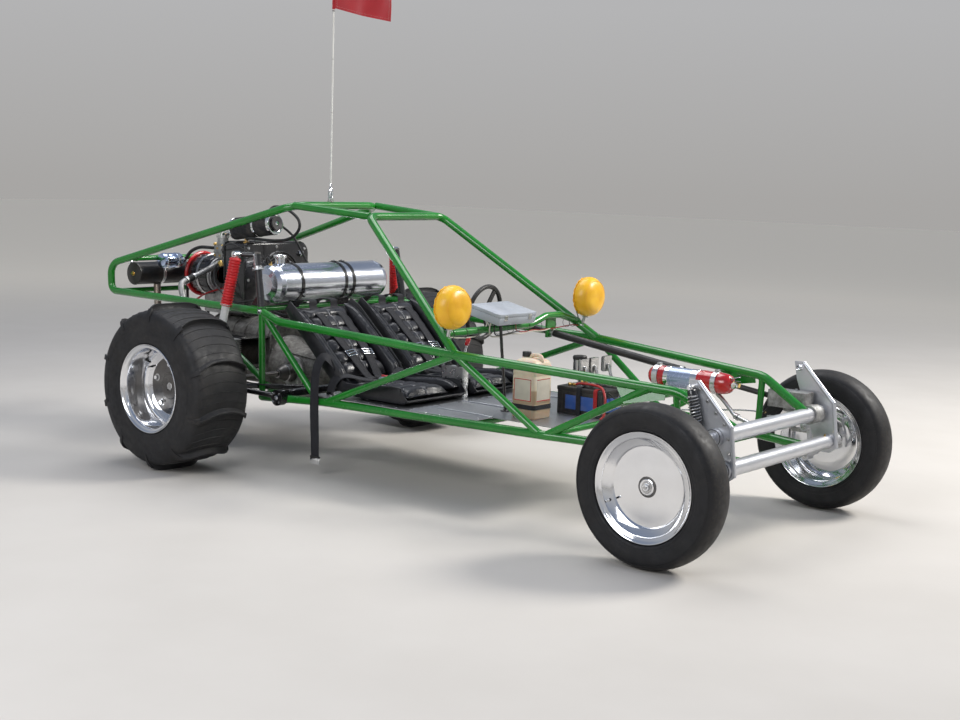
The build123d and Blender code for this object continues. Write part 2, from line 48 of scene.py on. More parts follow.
# --------------------------------------------------------------------------- camera
yaw, pitch, roll = 0.68885, 0.130489, -0.030837
look = Vector((-math.sin(yaw) * math.cos(pitch), math.cos(yaw) * math.cos(pitch), -math.sin(pitch)))
level = Vector((math.cos(yaw), math.sin(yaw), 0))
down0 = look.cross(level)
right = math.cos(roll) * level + math.sin(roll) * down0
down = -math.sin(roll) * level + math.cos(roll) * down0
camera_data = bpy.data.cameras.new("camera")
camera_data.sensor_width = 36
camera_data.lens = 52.305
camera_data.clip_end = 100
camera = bpy.data.objects.new("camera", camera_data)
bpy.context.scene.collection.objects.link(camera)
camera.matrix_world = Matrix((
    (right.x, -down.x, -look.x, 4.33974),
    (right.y, -down.y, -look.y, -4.95762),
    (right.z, -down.z, -look.z, 1.40837),
    (0, 0, 0, 1)))
bpy.context.scene.camera = camera


# --------------------------------------------------------------------------- node materials
class Shade:
    """A Principled material with a few helpers for its procedural nodes."""

    def __init__(self, name, color, rough, metal=0.0, **even):
        self.m = bpy.data.materials.new(name)
        self.m.use_nodes = True
        self.t = self.m.node_tree
        self.b = self.t.nodes["Principled BSDF"]
        self.b.inputs["Base Color"].default_value = (*color, 1)
        self.b.inputs["Roughness"].default_value = rough
        self.b.inputs["Metallic"].default_value = metal
        for k, v in even.items():
            self.b.inputs[k.replace("_", " ")].default_value = v
        self.place = self.t.nodes.new("ShaderNodeTexCoord").outputs["Object"]
        self.m.diffuse_color = (*color, 1)
        self.height = None

    def link(self, a, b):
        self.t.links.new(a, b)

    def scaled(self, sx, sy, sz, turn=(0, 0, 0)):
        n = self.t.nodes.new("ShaderNodeMapping")
        n.inputs["Scale"].default_value = (sx, sy, sz)
        n.inputs["Rotation"].default_value = turn
        self.link(self.place, n.inputs["Vector"])
        return n.outputs["Vector"]

    def noise(self, scale, detail=3.0, rough=0.55, bend=0.0, at=None):
        n = self.t.nodes.new("ShaderNodeTexNoise")
        n.inputs["Scale"].default_value = scale
        n.inputs["Detail"].default_value = detail
        n.inputs["Roughness"].default_value = rough
        n.inputs["Distortion"].default_value = bend
        self.link(at or self.place, n.inputs["Vector"])
        return n.outputs["Fac"]

    def cells(self, scale, feature="F1", at=None, loose=1.0):
        n = self.t.nodes.new("ShaderNodeTexVoronoi")
        n.feature = feature
        n.inputs["Scale"].default_value = scale
        n.inputs["Randomness"].default_value = loose
        self.link(at or self.place, n.inputs["Vector"])
        return n.outputs["Distance"]

    def wave(self, scale, axis="X", bend=0.0, at=None, kind="SIN"):
        n = self.t.nodes.new("ShaderNodeTexWave")
        n.bands_direction = axis
        n.wave_profile = kind
        n.inputs["Scale"].default_value = scale
        n.inputs["Distortion"].default_value = bend
        self.link(at or self.place, n.inputs["Vector"])
        return n.outputs["Fac"]

    def sep(self, at=None):
        n = self.t.nodes.new("ShaderNodeSeparateXYZ")
        self.link(at or self.place, n.inputs[0])
        return n.outputs

    def math(self, op, a, b=None, c=None):
        n = self.t.nodes.new("ShaderNodeMath")
        n.operation = op
        for k, v in enumerate((a, b, c)):
            if v is None:
                continue
            if isinstance(v, (int, float)):
                n.inputs[k].default_value = v
            else:
                self.link(v, n.inputs[k])
        return n.outputs[0]

    def span(self, x, lo, hi, to_lo, to_hi, smooth=False):
        n = self.t.nodes.new("ShaderNodeMapRange")
        n.interpolation_type = "SMOOTHSTEP" if smooth else "LINEAR"
        self.link(x, n.inputs["Value"])
        for k, v in (("From Min", lo), ("From Max", hi), ("To Min", to_lo), ("To Max", to_hi)):
            n.inputs[k].default_value = v
        return n.outputs["Result"]

    def ramp(self, x, stops):
        n = self.t.nodes.new("ShaderNodeValToRGB")
        r = n.color_ramp
        while len(r.elements) < len(stops):
            r.elements.new(0.5)
        for e, (p, c) in zip(r.elements, stops):
            e.position = p
            e.color = (*c, 1)
        self.link(x, n.inputs["Fac"])
        return n.outputs["Color"]

    def mix(self, x, a, b):
        n = self.t.nodes.new("ShaderNodeMix")
        n.data_type = "RGBA"
        if isinstance(x, (int, float)):
            n.inputs["Factor"].default_value = x
        else:
            self.link(x, n.inputs["Factor"])
        for k, v in ((6, a), (7, b)):
            if isinstance(v, tuple):
                n.inputs[k].default_value = (*v, 1)
            else:
                self.link(v, n.inputs[k])
        return n.outputs[2]

    def edges(self, amount=1.0):
        """1 on worn edges, 0 elsewhere, from the mesh's own shape."""
        g = self.t.nodes.new("ShaderNodeNewGeometry")
        return self.span(g.outputs["Pointiness"], 0.52, 0.58, 0.0, amount, True)

    def facing_up(self):
        g = self.t.nodes.new("ShaderNodeNewGeometry")
        n = self.t.nodes.new("ShaderNodeSeparateXYZ")
        self.link(g.outputs["Normal"], n.inputs[0])
        return self.span(n.outputs["Z"], 0.1, 1.0, 0.0, 1.0, True)

    def color(self, x):
        self.link(x, self.b.inputs["Base Color"])

    def rough(self, x):
        self.link(x, self.b.inputs["Roughness"])

    def bump(self, x, strength, depth_mm):
        n = self.t.nodes.new("ShaderNodeBump")
        n.inputs["Strength"].default_value = strength
        n.inputs["Distance"].default_value = depth_mm / 1000
        self.link(x, n.inputs["Height"])
        if self.height is not None:
            self.link(self.height, n.inputs["Normal"])
        self.height = n.outputs["Normal"]
        self.link(self.height, self.b.inputs["Normal"])


def paint(name, color, dark, rough=0.22, coat=0.6, dust=(0.30, 0.26, 0.20), dust_amount=0.05, metal=0.0):
    s = Shade(name, color, rough, metal, Coat_Weight=coat, Coat_Roughness=0.06)
    tone = s.mix(s.span(s.noise(6, 4), 0.3, 0.7, 0, 1), color, dark)
    film = s.math("MULTIPLY", s.span(s.noise(38, 6, 0.7), 0.45, 0.8, 0, 1), s.facing_up())
    s.color(s.mix(s.math("MULTIPLY", film, dust_amount), tone, dust))
    s.rough(s.span(s.noise(55, 4), 0.3, 0.75, rough * 0.88, rough * 1.22))
    s.bump(s.noise(260, 2), 0.03, 0.2)
    return s.m


def rolled(name, color, rough, ring_axis=None, spacing=0.0016, grain=0.25, tint=None, aniso=0.0, stain=None):
    """Polished or brushed metal. ring_axis: the axis that the lathe marks run round, in object space."""
    s = Shade(name, color, rough, 1.0, Anisotropic=aniso)
    tone = s.mix(s.span(s.noise(9, 4), 0.35, 0.7, 0, 1), color, tint or tuple(0.86 * c for c in color))
    if stain:
        tone = s.mix(s.span(s.noise(15, 5, 0.65), 0.55, 0.8, 0, 0.55), tone, stain)
    s.color(tone)
    smear = s.noise(30, 5, 0.6)
    s.rough(s.span(smear, 0.3, 0.75, rough * 0.7, rough * 1.7))
    if ring_axis is not None:
        x, y, z = s.sep()
        a, b = {"X": (y, z), "Y": (x, z), "Z": (x, y)}[ring_axis]
        r = s.math("SQRT", s.math("ADD", s.math("MULTIPLY", a, a), s.math("MULTIPLY", b, b)))
        n = s.t.nodes.new("ShaderNodeTexNoise")
        n.noise_dimensions = "1D"
        n.inputs["Scale"].default_value = 1.0 / spacing
        n.inputs["Detail"].default_value = 2
        s.link(r, n.inputs["W"])
        s.bump(n.outputs["Fac"], grain, 0.05)
    s.bump(s.noise(420, 2), grain * 0.35, 0.12)
    return s.m


def stretched(name, color, rough, scale, grain=0.3, tint=None, metal=1.0, stain=None):
    """Brushed or drawn metal whose marks run across the large scale values."""
    s = Shade(name, color, rough, metal)
    marks = s.noise(1.0, 4, 0.6, 0, s.scaled(*scale))
    tone = s.mix(s.span(marks, 0.35, 0.65, 0, 1), color, tint or tuple(0.82 * c for c in color))
    if stain:
        tone = s.mix(s.span(s.noise(12, 5, 0.65), 0.52, 0.78, 0, 0.6), tone, stain)
    s.color(tone)
    s.rough(s.span(marks, 0.3, 0.7, rough * 0.75, rough * 1.4))
    s.bump(marks, grain, 0.15)
    return s.m


def rubber(name, base=(0.0075, 0.0075, 0.0085), dust=(0.11, 0.092, 0.070), amount=0.20, rings=False, rough=0.56):
    s = Shade(name, base, rough, 0.0, Specular_IOR_Level=0.34)
    worn = s.span(s.noise(7, 6, 0.7), 0.42, 0.75, 0, 1)
    fine = s.span(s.noise(90, 5, 0.7), 0.4, 0.7, 0, 1)
    film = s.math("MULTIPLY", s.math("MULTIPLY", worn, fine), amount)
    tone = s.mix(s.span(s.noise(22, 4), 0.3, 0.7, 0, 1), base, tuple(c * 2.0 for c in base))
    if rings:
        x, y, z = s.sep()
        r = s.math("SQRT", s.math("ADD", s.math("MULTIPLY", x, x), s.math("MULTIPLY", z, z)))
        n = s.t.nodes.new("ShaderNodeTexNoise")
        n.noise_dimensions = "1D"
        n.inputs["Scale"].default_value = 260
        n.inputs["Detail"].default_value = 3
        s.link(r, n.inputs["W"])
        s.bump(n.outputs["Fac"], 0.25, 0.5)
        tread = s.span(r, 0.285, 0.306, 0.0, 0.22, True)
        film = s.math("ADD", film, s.math("MULTIPLY", tread, fine))
    s.color(s.mix(film, tone, dust))
    s.rough(s.span(s.noise(45, 5), 0.3, 0.7, rough * 0.8, min(0.95, rough * 1.25)))
    s.bump(s.noise(330, 4, 0.7), 0.35, 0.35)
    s.bump(s.noise(28, 4), 0.15, 0.9)
    return s.m


def vinyl(name, base=(0.018, 0.018, 0.021), rough=0.33, grain=650):
    s = Shade(name, base, rough, 0.0, Coat_Weight=0.18, Coat_Roughness=0.25, Specular_IOR_Level=0.40)
    wear = s.span(s.noise(11, 5, 0.65), 0.45, 0.75, 0, 1)
    s.color(s.mix(s.math("MULTIPLY", wear, 0.4), base, (0.036, 0.035, 0.038)))
    s.rough(s.span(s.noise(35, 4), 0.3, 0.7, rough * 0.75, rough * 1.5))
    s.bump(s.cells(grain, "F1"), 0.35, 0.30)
    s.bump(s.noise(24, 4, 0.6, 0.6), 0.30, 2.0)
    return s.m


def webbing(name, base, thread, rib=620, rough=0.72):
    s = Shade(name, base, rough, 0.0, Sheen_Weight=0.06, Sheen_Roughness=0.4, Specular_IOR_Level=0.3)
    a = s.wave(rib, "DIAGONAL", 0.15)
    b = s.wave(rib * 0.9, "DIAGONAL", 0.15, s.scaled(1, -1, 1))
    weave = s.math("MAXIMUM", a, b)
    s.color(s.mix(s.math("MULTIPLY", weave, s.span(s.noise(40, 4), 0.3, 0.7, 0.4, 1)), base, thread))
    s.rough(s.span(weave, 0, 1, rough * 1.15, rough * 0.85))
    s.bump(weave, 0.5, 0.6)
    return s.m


def moulded(name, base, rough=0.42, grain=520, depth=0.18, dust=(0.33, 0.29, 0.24), dust_amount=0.12):
    s = Shade(name, base, rough)
    film = s.math("MULTIPLY", s.span(s.noise(20, 6, 0.7), 0.45, 0.78, 0, 1), dust_amount)
    tone = s.mix(s.span(s.noise(8, 3), 0.35, 0.65, 0, 1), base, tuple(c * 0.78 for c in base))
    s.color(s.mix(film, tone, dust))
    s.rough(s.span(s.noise(60, 4), 0.3, 0.7, rough * 0.8, rough * 1.3))
    s.bump(s.noise(grain, 3, 0.6), 0.4, depth)
    return s.m


def cast(name, base, rough=0.48, grime=(0.05, 0.042, 0.035), amount=0.6, metal=0.9):
    s = Shade(name, base, rough, metal)
    dirt = s.span(s.noise(14, 7, 0.7), 0.42, 0.68, 0, amount)
    tone = s.mix(s.span(s.noise(60, 4), 0.3, 0.7, 0, 1), base, tuple(c * 0.7 for c in base))
    s.color(s.mix(dirt, tone, grime))
    s.rough(s.span(s.noise(80, 5, 0.7), 0.3, 0.7, rough * 0.75, min(1, rough * 1.6)))
    s.bump(s.noise(520, 4, 0.7), 0.55, 0.5)
    s.bump(s.noise(60, 3), 0.2, 0.7)
    return s.m


M = {
    "green": paint("green_paint", (0.012, 0.215, 0.017), (0.008, 0.150, 0.012), 0.24, 0.42, dust_amount=0.03),
    "silver": paint("silver_paint", (0.60, 0.61, 0.64), (0.54, 0.55, 0.58), 0.34, 0.3, dust_amount=0.03, metal=0.7),
    "red": paint("red_enamel", (0.52, 0.010, 0.012), (0.36, 0.006, 0.008), 0.20, 0.8),
    "black_gloss": paint("black_enamel", (0.007, 0.007, 0.008), (0.013, 0.012, 0.013), 0.24, 0.6, dust_amount=0.06),
    "white": paint("white_enamel", (0.78, 0.78, 0.76), (0.68, 0.67, 0.64), 0.28, 0.5, dust_amount=0.2),
    "blue": paint("blue_lacquer", (0.025, 0.085, 0.42), (0.015, 0.05, 0.28), 0.2, 0.8),
    "chrome": rolled("chrome", (0.86, 0.87, 0.88), 0.075, grain=0.05, tint=(0.80, 0.81, 0.83)),
    "steel": rolled("bright_steel", (0.60, 0.60, 0.60), 0.26, grain=0.3, stain=(0.30, 0.25, 0.20)),
    "dark_steel": rolled("dark_steel", (0.16, 0.155, 0.15), 0.38, grain=0.35, stain=(0.10, 0.075, 0.055)),
    "spun": rolled("spun_aluminium", (0.86, 0.865, 0.88), 0.085, "Y", 0.0011, 0.16, (0.80, 0.80, 0.81), 0.35),
    "disc": rolled("polished_disc", (0.84, 0.845, 0.855), 0.065, "Y", 0.0022, 0.08, (0.79, 0.79, 0.80), 0.4),
    "centre": rolled("wheel_centre", (0.17, 0.165, 0.16), 0.30, "Y", 0.003, 0.2, (0.12, 0.115, 0.11), 0.3,
                     stain=(0.28, 0.25, 0.21)),
    "tank": stretched("tank_aluminium", (0.68, 0.71, 0.77), 0.20, (260, 9, 260), 0.035, (0.63, 0.66, 0.73)),
    "sheet": stretched("brushed_sheet", (0.50, 0.51, 0.53), 0.36, (9, 420, 420), 0.12, (0.44, 0.45, 0.47)),
    "box_grey": moulded("box_enamel", (0.42, 0.45, 0.50), 0.36, 380, 0.12, dust_amount=0.22),
    "cast": cast("cast_alloy", (0.50, 0.50, 0.49)),
    "magnesium": cast("crankcase_alloy", (0.30, 0.29, 0.27), 0.55, amount=0.75),
    "iron": cast("finned_iron", (0.10, 0.095, 0.09), 0.6, (0.06, 0.038, 0.024), 0.8, 0.7),
    "brass": rolled("brass", (0.80, 0.56, 0.20), 0.22, grain=0.2, tint=(0.66, 0.43, 0.14)),
    "exhaust": None,
    "tyre": rubber("tyre_rubber", rings=True),
    "paddle": rubber("paddle_rubber", (0.009, 0.009, 0.010), (0.13, 0.108, 0.082), 0.26, False, 0.56),
    "hose": rubber("hose_rubber", (0.012, 0.012, 0.012), amount=0.15, rough=0.45),
    "vinyl": vinyl("seat_vinyl", (0.019, 0.019, 0.023), 0.32),
    "vinyl_side": vinyl("seat_vinyl_side", (0.009, 0.009, 0.011), 0.38, 700),
    "web": webbing("black_webbing", (0.007, 0.007, 0.009), (0.026, 0.026, 0.031)),
    "leather": vinyl("wheel_grip", (0.016, 0.014, 0.013), 0.45, 900),
    "plastic": moulded("black_plastic", (0.014, 0.014, 0.015)),
    "can": None,
    "wire": moulded("wire_cover", (0.72, 0.68, 0.58), 0.45, 300, 0.1),
    "wire_red": moulded("wire_red", (0.40, 0.02, 0.02), 0.4, 300, 0.1),
    "wire_black": moulded("wire_black", (0.012, 0.012, 0.012), 0.4, 300, 0.1),
    "yellow": None, "boot": None, "flag": None, "whip": None, "glass": None, "dial": None,
}

s = Shade("translucent_can", (0.62, 0.50, 0.36), 0.42, 0.0, Subsurface_Weight=0.35, Subsurface_Scale=0.02)
x, y, z = s.sep()
level_mark = s.span(s.math("ADD", z, s.math("MULTIPLY", s.noise(6), 0.01)), 0.505, 0.515, 0, 1, True)
s.color(s.mix(level_mark, (0.40, 0.29, 0.19), s.mix(s.span(s.noise(18, 5), 0.35, 0.7, 0, 1),
                                                     (0.66, 0.56, 0.43), (0.58, 0.47, 0.34))))
s.rough(s.span(s.noise(50, 4), 0.3, 0.7, 0.34, 0.55))
s.bump(s.noise(300, 3), 0.3, 0.2)
M["can"] = s.m

s = Shade("pipe_and_muffler", (0.34, 0.30, 0.27), 0.36, 0.9)
x, y, z = s.sep()
above = s.span(z, 0.772, 0.780, 0, 1)
heat = s.mix(s.span(s.noise(7, 5, 0.65), 0.40, 0.66, 0, 1), (0.36, 0.32, 0.28), (0.20, 0.115, 0.075))
soot = s.mix(s.span(s.noise(16, 6, 0.7), 0.45, 0.75, 0, 1), (0.013, 0.013, 0.014), (0.040, 0.030, 0.024))
s.color(s.mix(above, heat, soot))
s.link(s.span(above, 0, 1, 0.9, 0.1), s.b.inputs["Metallic"])
s.rough(s.span(s.noise(50, 4), 0.3, 0.7, 0.30, 0.52))
s.bump(s.noise(300, 4, 0.7), 0.3, 0.3)
M["exhaust"] = s.m

s = Shade("green_and_black", (0.012, 0.215, 0.017), 0.24, 0.0, Coat_Weight=0.42, Coat_Roughness=0.06)
x, y, z = s.sep()
side = s.span(s.math("ABSOLUTE", y), 0.4605, 0.4625, 0, 1)
post = s.math("MULTIPLY", s.math("MULTIPLY", side, s.span(z, 0.7600, 0.7625, 0, 1)), s.span(x, -0.862, -0.860, 0, 1))
green = s.mix(s.span(s.noise(6, 4), 0.3, 0.7, 0, 1), (0.012, 0.215, 0.017), (0.008, 0.150, 0.012))
black = s.mix(s.span(s.noise(20, 5, 0.7), 0.3, 0.7, 0, 1), (0.012, 0.012, 0.014), (0.020, 0.020, 0.022))
film = s.math("MULTIPLY", s.span(s.noise(38, 6, 0.7), 0.45, 0.8, 0, 1), s.facing_up())
s.color(s.mix(s.math("MULTIPLY", film, 0.04), s.mix(post, green, black), (0.30, 0.26, 0.20)))
s.rough(s.span(s.noise(55, 4), 0.3, 0.75, 0.21, 0.29))
s.bump(s.noise(260, 2), 0.03, 0.2)
M["cage"] = s.m

s = Shade("yellow_cover", (0.90, 0.50, 0.015), 0.38, 0.0, Coat_Weight=0.2, Coat_Roughness=0.3)
s.color(s.mix(s.span(s.noise(14, 5), 0.35, 0.7, 0, 1), (0.88, 0.50, 0.016), (0.80, 0.40, 0.010)))
s.rough(s.span(s.noise(60, 4), 0.3, 0.7, 0.30, 0.52))
s.bump(s.cells(520), 0.3, 0.25)
s.bump(s.noise(13, 4, 0.6, 0.8), 0.35, 2.2)
M["yellow"] = s.m

s = Shade("boot_rubber", (0.62, 0.014, 0.018), 0.40, 0.0, Coat_Weight=0.2, Coat_Roughness=0.3)
s.color(s.mix(s.span(s.noise(25, 5), 0.4, 0.75, 0, 1), (0.60, 0.012, 0.016), (0.42, 0.008, 0.012)))
s.rough(s.span(s.noise(60, 4), 0.3, 0.7, 0.32, 0.55))
s.bump(s.noise(380, 3), 0.3, 0.25)
M["boot"] = s.m

s = Shade("flag_weave", (0.50, 0.012, 0.018), 0.75, 0.0, Sheen_Weight=0.4, Sheen_Roughness=0.5)
weave = s.math("MULTIPLY", s.wave(900, "X"), s.wave(900, "Z"))
s.color(s.mix(s.span(s.noise(9, 5), 0.35, 0.7, 0, 1), s.mix(weave, (0.40, 0.010, 0.016), (0.58, 0.016, 0.024)),
              (0.36, 0.010, 0.015)))
s.rough(s.span(weave, 0, 1, 0.85, 0.65))
s.bump(weave, 0.4, 0.3)
M["flag"] = s.m

s = Shade("whip_fibre", (0.70, 0.70, 0.66), 0.36)
s.color(s.mix(s.span(s.noise(1.0, 4, 0.6, 0, s.scaled(160, 160, 6)), 0.35, 0.65, 0, 1), (0.72, 0.72, 0.69), (0.55, 0.54, 0.50)))
s.rough(s.span(s.noise(1.0, 3, 0.6, 0, s.scaled(300, 300, 14)), 0.3, 0.7, 0.28, 0.5))
s.bump(s.noise(1.0, 3, 0.6, 0, s.scaled(500, 500, 20)), 0.3, 0.2)
M["whip"] = s.m

s = Shade("lamp_glass", (0.75, 0.78, 0.80), 0.06, 0.0, Transmission_Weight=0.9, IOR=1.45)
s.bump(s.wave(140, "Y", 0), 0.4, 1.2)
s.rough(s.span(s.noise(40, 4), 0.3, 0.7, 0.03, 0.12))
s.color(s.mix(s.span(s.noise(20), 0.3, 0.7, 0, 1), (0.78, 0.80, 0.82), (0.70, 0.73, 0.75)))
M["glass"] = s.m

M["thread"] = moulded("thread_white", (0.66, 0.64, 0.60), 0.6, 900, 0.05, dust_amount=0.2)
# grey for the welt down the middle of each seat: the welt is real, its light grey colour is a painted sheen highlight
# on the black vinyl
M["piping"] = vinyl("seat_piping", (0.17, 0.17, 0.18), 0.24, 900)
M["thread_dark"] = moulded("thread_dark", (0.05, 0.05, 0.05), 0.6, 900, 0.05)
M["blue_chrome"] = rolled("blued_chrome", (0.58, 0.68, 0.88), 0.14, grain=0.08, tint=(0.48, 0.58, 0.80))
M["filter"] = moulded("filter_gauze", (0.022, 0.022, 0.026), 0.55, 900, 0.25, dust_amount=0.3)
M["muffler"] = paint("muffler_black", (0.014, 0.014, 0.015), (0.03, 0.024, 0.02), 0.42, 0.15, dust_amount=0.4)
M["bell"] = cast("end_bell_alloy", (0.46, 0.46, 0.47), 0.34, (0.16, 0.15, 0.14), 0.5, 0.85)
M["label"] = moulded("label_paper", (0.60, 0.55, 0.46), 0.5, 700, 0.05, dust_amount=0.3)
M["blue_label"] = moulded("blue_label", (0.03, 0.10, 0.38), 0.35, 700, 0.05, dust_amount=0.25)
M["blue_silver"] = paint("blue_silver", (0.36, 0.42, 0.56), (0.28, 0.34, 0.48), 0.25, 0.6, metal=0.5)
M["red_web"] = webbing("red_webbing", (0.30, 0.012, 0.014), (0.52, 0.03, 0.03))
s = Shade("dial_face", (0.03, 0.03, 0.032), 0.5)
s.color(s.mix(s.span(s.noise(60, 4), 0.4, 0.7, 0, 1), (0.026, 0.026, 0.028), (0.045, 0.045, 0.048)))
s.bump(s.noise(500, 2), 0.2, 0.1)
M["dial"] = s.m


# --------------------------------------------------------------------------- mesh making
class Shape:
    """Collects mesh pieces, in drawing millimetres, and makes one joined object of them."""

    def __init__(self, name, body="root", centre=None, slot=None, replaces=(), angle=32):
        self.name, self.body, self.centre = name, body, centre
        self.slot, self.replaces, self.angle = slot, replaces, angle
        self.v, self.f, self.k, self.mats = [], [], [], []

    def add(self, verts, faces, mat):
        if mat not in self.mats:
            self.mats.append(mat)
        base, k = len(self.v), self.mats.index(mat)
        self.v.extend([tuple(p) for p in verts])
        self.f.extend([tuple(base + i for i in f) for f in faces])
        self.k.extend([k] * len(faces))

    def make(self, fix=True):
        mesh = bpy.data.meshes.new(self.name)
        base = row(self.centre) if self.centre is not None else Vector((0, 0, 0))
        co = np.array(self.v, float)
        co[:, 0] -= AHEAD
        co /= 1000
        co -= np.array(base)
        mesh.from_pydata(co.tolist(), [], self.f)
        mesh.validate()
        for m in self.mats:
            mesh.materials.append(M[m])
        if len(mesh.polygons) == len(self.k):
            mesh.polygons.foreach_set("material_index", self.k)
        mesh.polygons.foreach_set("use_smooth", [True] * len(mesh.polygons))
        if fix:
            bm = bmesh.new()
            bm.from_mesh(mesh)
            bmesh.ops.recalc_face_normals(bm, faces=bm.faces)
            bm.to_mesh(mesh)
            bm.free()
        mesh.set_sharp_from_angle(angle=math.radians(self.angle))
        obj = bpy.data.objects.new(self.name, mesh)
        obj.location = base
        bpy.context.scene.collection.objects.link(obj)
        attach(obj, self.body)
        if self.replaces:
            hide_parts(*self.replaces)
        return obj


def curve(points, per=8, closed=False):
    """A smooth line through the points."""
    p = [Vector(q) for q in points]
    out, n = [], len(p)
    for i in range(n if closed else n - 1):
        a = p[(i - 1) % n] if closed or i else p[0] * 2 - p[1]
        b, c = p[i], p[(i + 1) % n]
        d = p[(i + 2) % n] if closed or i + 2 < n else c * 2 - b
        for k in range(per):
            t = k / per
            out.append(0.5 * ((2 * b) + (c - a) * t + (2 * a - 5 * b + 4 * c - d) * t * t
                              + (3 * b - a - 3 * c + d) * t ** 3))
    if not closed:
        out.append(p[-1])
    return out


def curve2(points, per=6):
    return [(q.x, q.y) for q in curve([(a, b, 0) for a, b in points], per)]


def basis(axis, ref=None):
    w = Vector(axis).normalized()
    u = (Vector(ref) - w * Vector(ref).dot(w)).normalized() if ref is not None else w.orthogonal().normalized()
    return u, w.cross(u), w


def lathe(S, profile, origin, axis, mat, n=48, closed=False, ref=None, arc=None):
    """profile is (radius, distance along the axis)."""
    u, v, w = basis(axis, ref)
    o = Vector(origin)
    rings, verts = [], []
    for r, t in profile:
        if r < 1e-6:
            rings.append([len(verts)])
            verts.append(o + w * t)
        else:
            rings.append(list(range(len(verts), len(verts) + n)))
            for i in range(n):
                a = 2 * math.pi * i / n
                verts.append(o + w * t + (u * math.cos(a) + v * math.sin(a)) * r)
    faces = []
    pairs = list(zip(rings, rings[1:])) + ([(rings[-1], rings[0])] if closed else [])
    for a, b in pairs:
        for i in range(n):
            j = (i + 1) % n
            if len(a) == 1 and len(b) == 1:
                continue
            if len(a) == 1:
                faces.append((a[0], b[i], b[j]))
            elif len(b) == 1:
                faces.append((a[i], a[j], b[0]))
            else:
                faces.append((a[i], a[j], b[j], b[i]))
    S.add(verts, faces, mat)


def tangents(p, closed=False):
    n = len(p)
    out = []
    for i in range(n):
        a = p[i - 1] if i or closed else p[i]
        b = p[(i + 1) % n] if i < n - 1 or closed else p[i]
        out.append((b - a).normalized())
    return out


def sweep(S, points, section, mat, up=None, caps=True, closed=False, size=None):
    """section is (side, up) points, up a vector or one per point."""
    p = [Vector(q) for q in points]
    t = tangents(p, closed)
    n, m = len(p), len(section)
    verts = []
    prev = None
    for i in range(n):
        if up is None:
            if prev is None:
                side = t[0].orthogonal().normalized()
            else:
                side = (prev - t[i] * prev.dot(t[i])).normalized()
            prev = side
            top = t[i].cross(side)
        else:
            w = Vector(up[i]) if isinstance(up, (list, tuple)) and hasattr(up[0], "__len__") else Vector(up)
            side = t[i].cross(w).normalized()
            top = side.cross(t[i]).normalized()
        k = 1.0 if size is None else size[i]
        for a, b in section:
            verts.append(p[i] + side * (a * k) + top * (b * k))
    faces = []
    for i in range(n if closed else n - 1):
        i2 = (i + 1) % n
        for j in range(m):
            j2 = (j + 1) % m
            faces.append((i * m + j, i * m + j2, i2 * m + j2, i2 * m + j))
    if caps and not closed:
        faces.append(tuple(range(m))[::-1])
        faces.append(tuple((n - 1) * m + j for j in range(m)))
    S.add(verts, faces, mat)


def circle(r, n=12):
    return [(r * math.cos(2 * math.pi * i / n), r * math.sin(2 * math.pi * i / n)) for i in range(n)]


def tube(S, points, r, mat, n=12, caps=True, closed=False, size=None):
    sweep(S, points, circle(r, n), mat, None, caps, closed, size)


def rounded(w, h, r, k=3):
    """Outline of a rounded rectangle."""
    r = min(r, w / 2 - 0.01, h / 2 - 0.01)
    out = []
    for cx, cy, a0 in ((w / 2 - r, h / 2 - r, 0), (-w / 2 + r, h / 2 - r, 90),
                       (-w / 2 + r, -h / 2 + r, 180), (w / 2 - r, -h / 2 + r, 270)):
        for i in range(k + 1):
            a = math.radians(a0 + 90 * i / k)
            out.append((cx + r * math.cos(a), cy + r * math.sin(a)))
    return out


def inset(outline, d):
    """The outline moved inwards by d."""
    n = len(outline)
    area = sum(outline[i][0] * outline[(i + 1) % n][1] - outline[(i + 1) % n][0] * outline[i][1] for i in range(n))
    sgn = 1 if area > 0 else -1
    out = []
    for i in range(n):
        ax, ay = outline[i - 1]
        bx, by = outline[i]
        cx, cy = outline[(i + 1) % n]
        e1 = Vector((bx - ax, by - ay)).normalized()
        e2 = Vector((cx - bx, cy - by)).normalized()
        n1, n2 = Vector((-e1.y, e1.x)) * sgn, Vector((-e2.y, e2.x)) * sgn
        m = n1 + n2
        m = m / max(m.dot(n1), 0.35)
        out.append((bx + m.x * d, by + m.y * d))
    return out


def prism(S, outline, origin, axis, x_dir, length, mat, edge=1.5, edge0=None, steps=2):
    """outline extruded along axis from origin, its rims rounded by edge."""
    u, v, w = basis(axis, x_dir)
    o = Vector(origin)
    edge0 = edge if edge0 is None else edge0
    rows = [(edge0 * (1 - math.cos(math.pi / 2 * k / steps)), edge0 * (1 - math.sin(math.pi / 2 * k / steps)))
            for k in range(steps + 1)]
    rows += [(length - edge * (1 - math.cos(math.pi / 2 * k / steps)), edge * (1 - math.sin(math.pi / 2 * k / steps)))
             for k in range(steps, -1, -1)]
    verts, n = [], len(outline)
    for t, d in rows:
        ring = inset(outline, d) if d > 1e-6 else outline
        verts += [o + u * a + v * b + w * t for a, b in ring]
    faces = []
    for i in range(len(rows) - 1):
        for j in range(n):
            j2 = (j + 1) % n
            faces.append((i * n + j, i * n + j2, (i + 1) * n + j2, (i + 1) * n + j))
    faces.append(tuple(range(n))[::-1])
    faces.append(tuple((len(rows) - 1) * n + j for j in range(n)))
    S.add(verts, faces, mat)


def brick(S, x0, x1, y0, y1, z0, z1, mat, r=4, edge=1.5):
    """Upright box by its limits with rounded edges."""
    prism(S, rounded(x1 - x0, y1 - y0, r), ((x0 + x1) / 2, (y0 + y1) / 2, z0), (0, 0, 1), (1, 0, 0), z1 - z0, mat, edge)


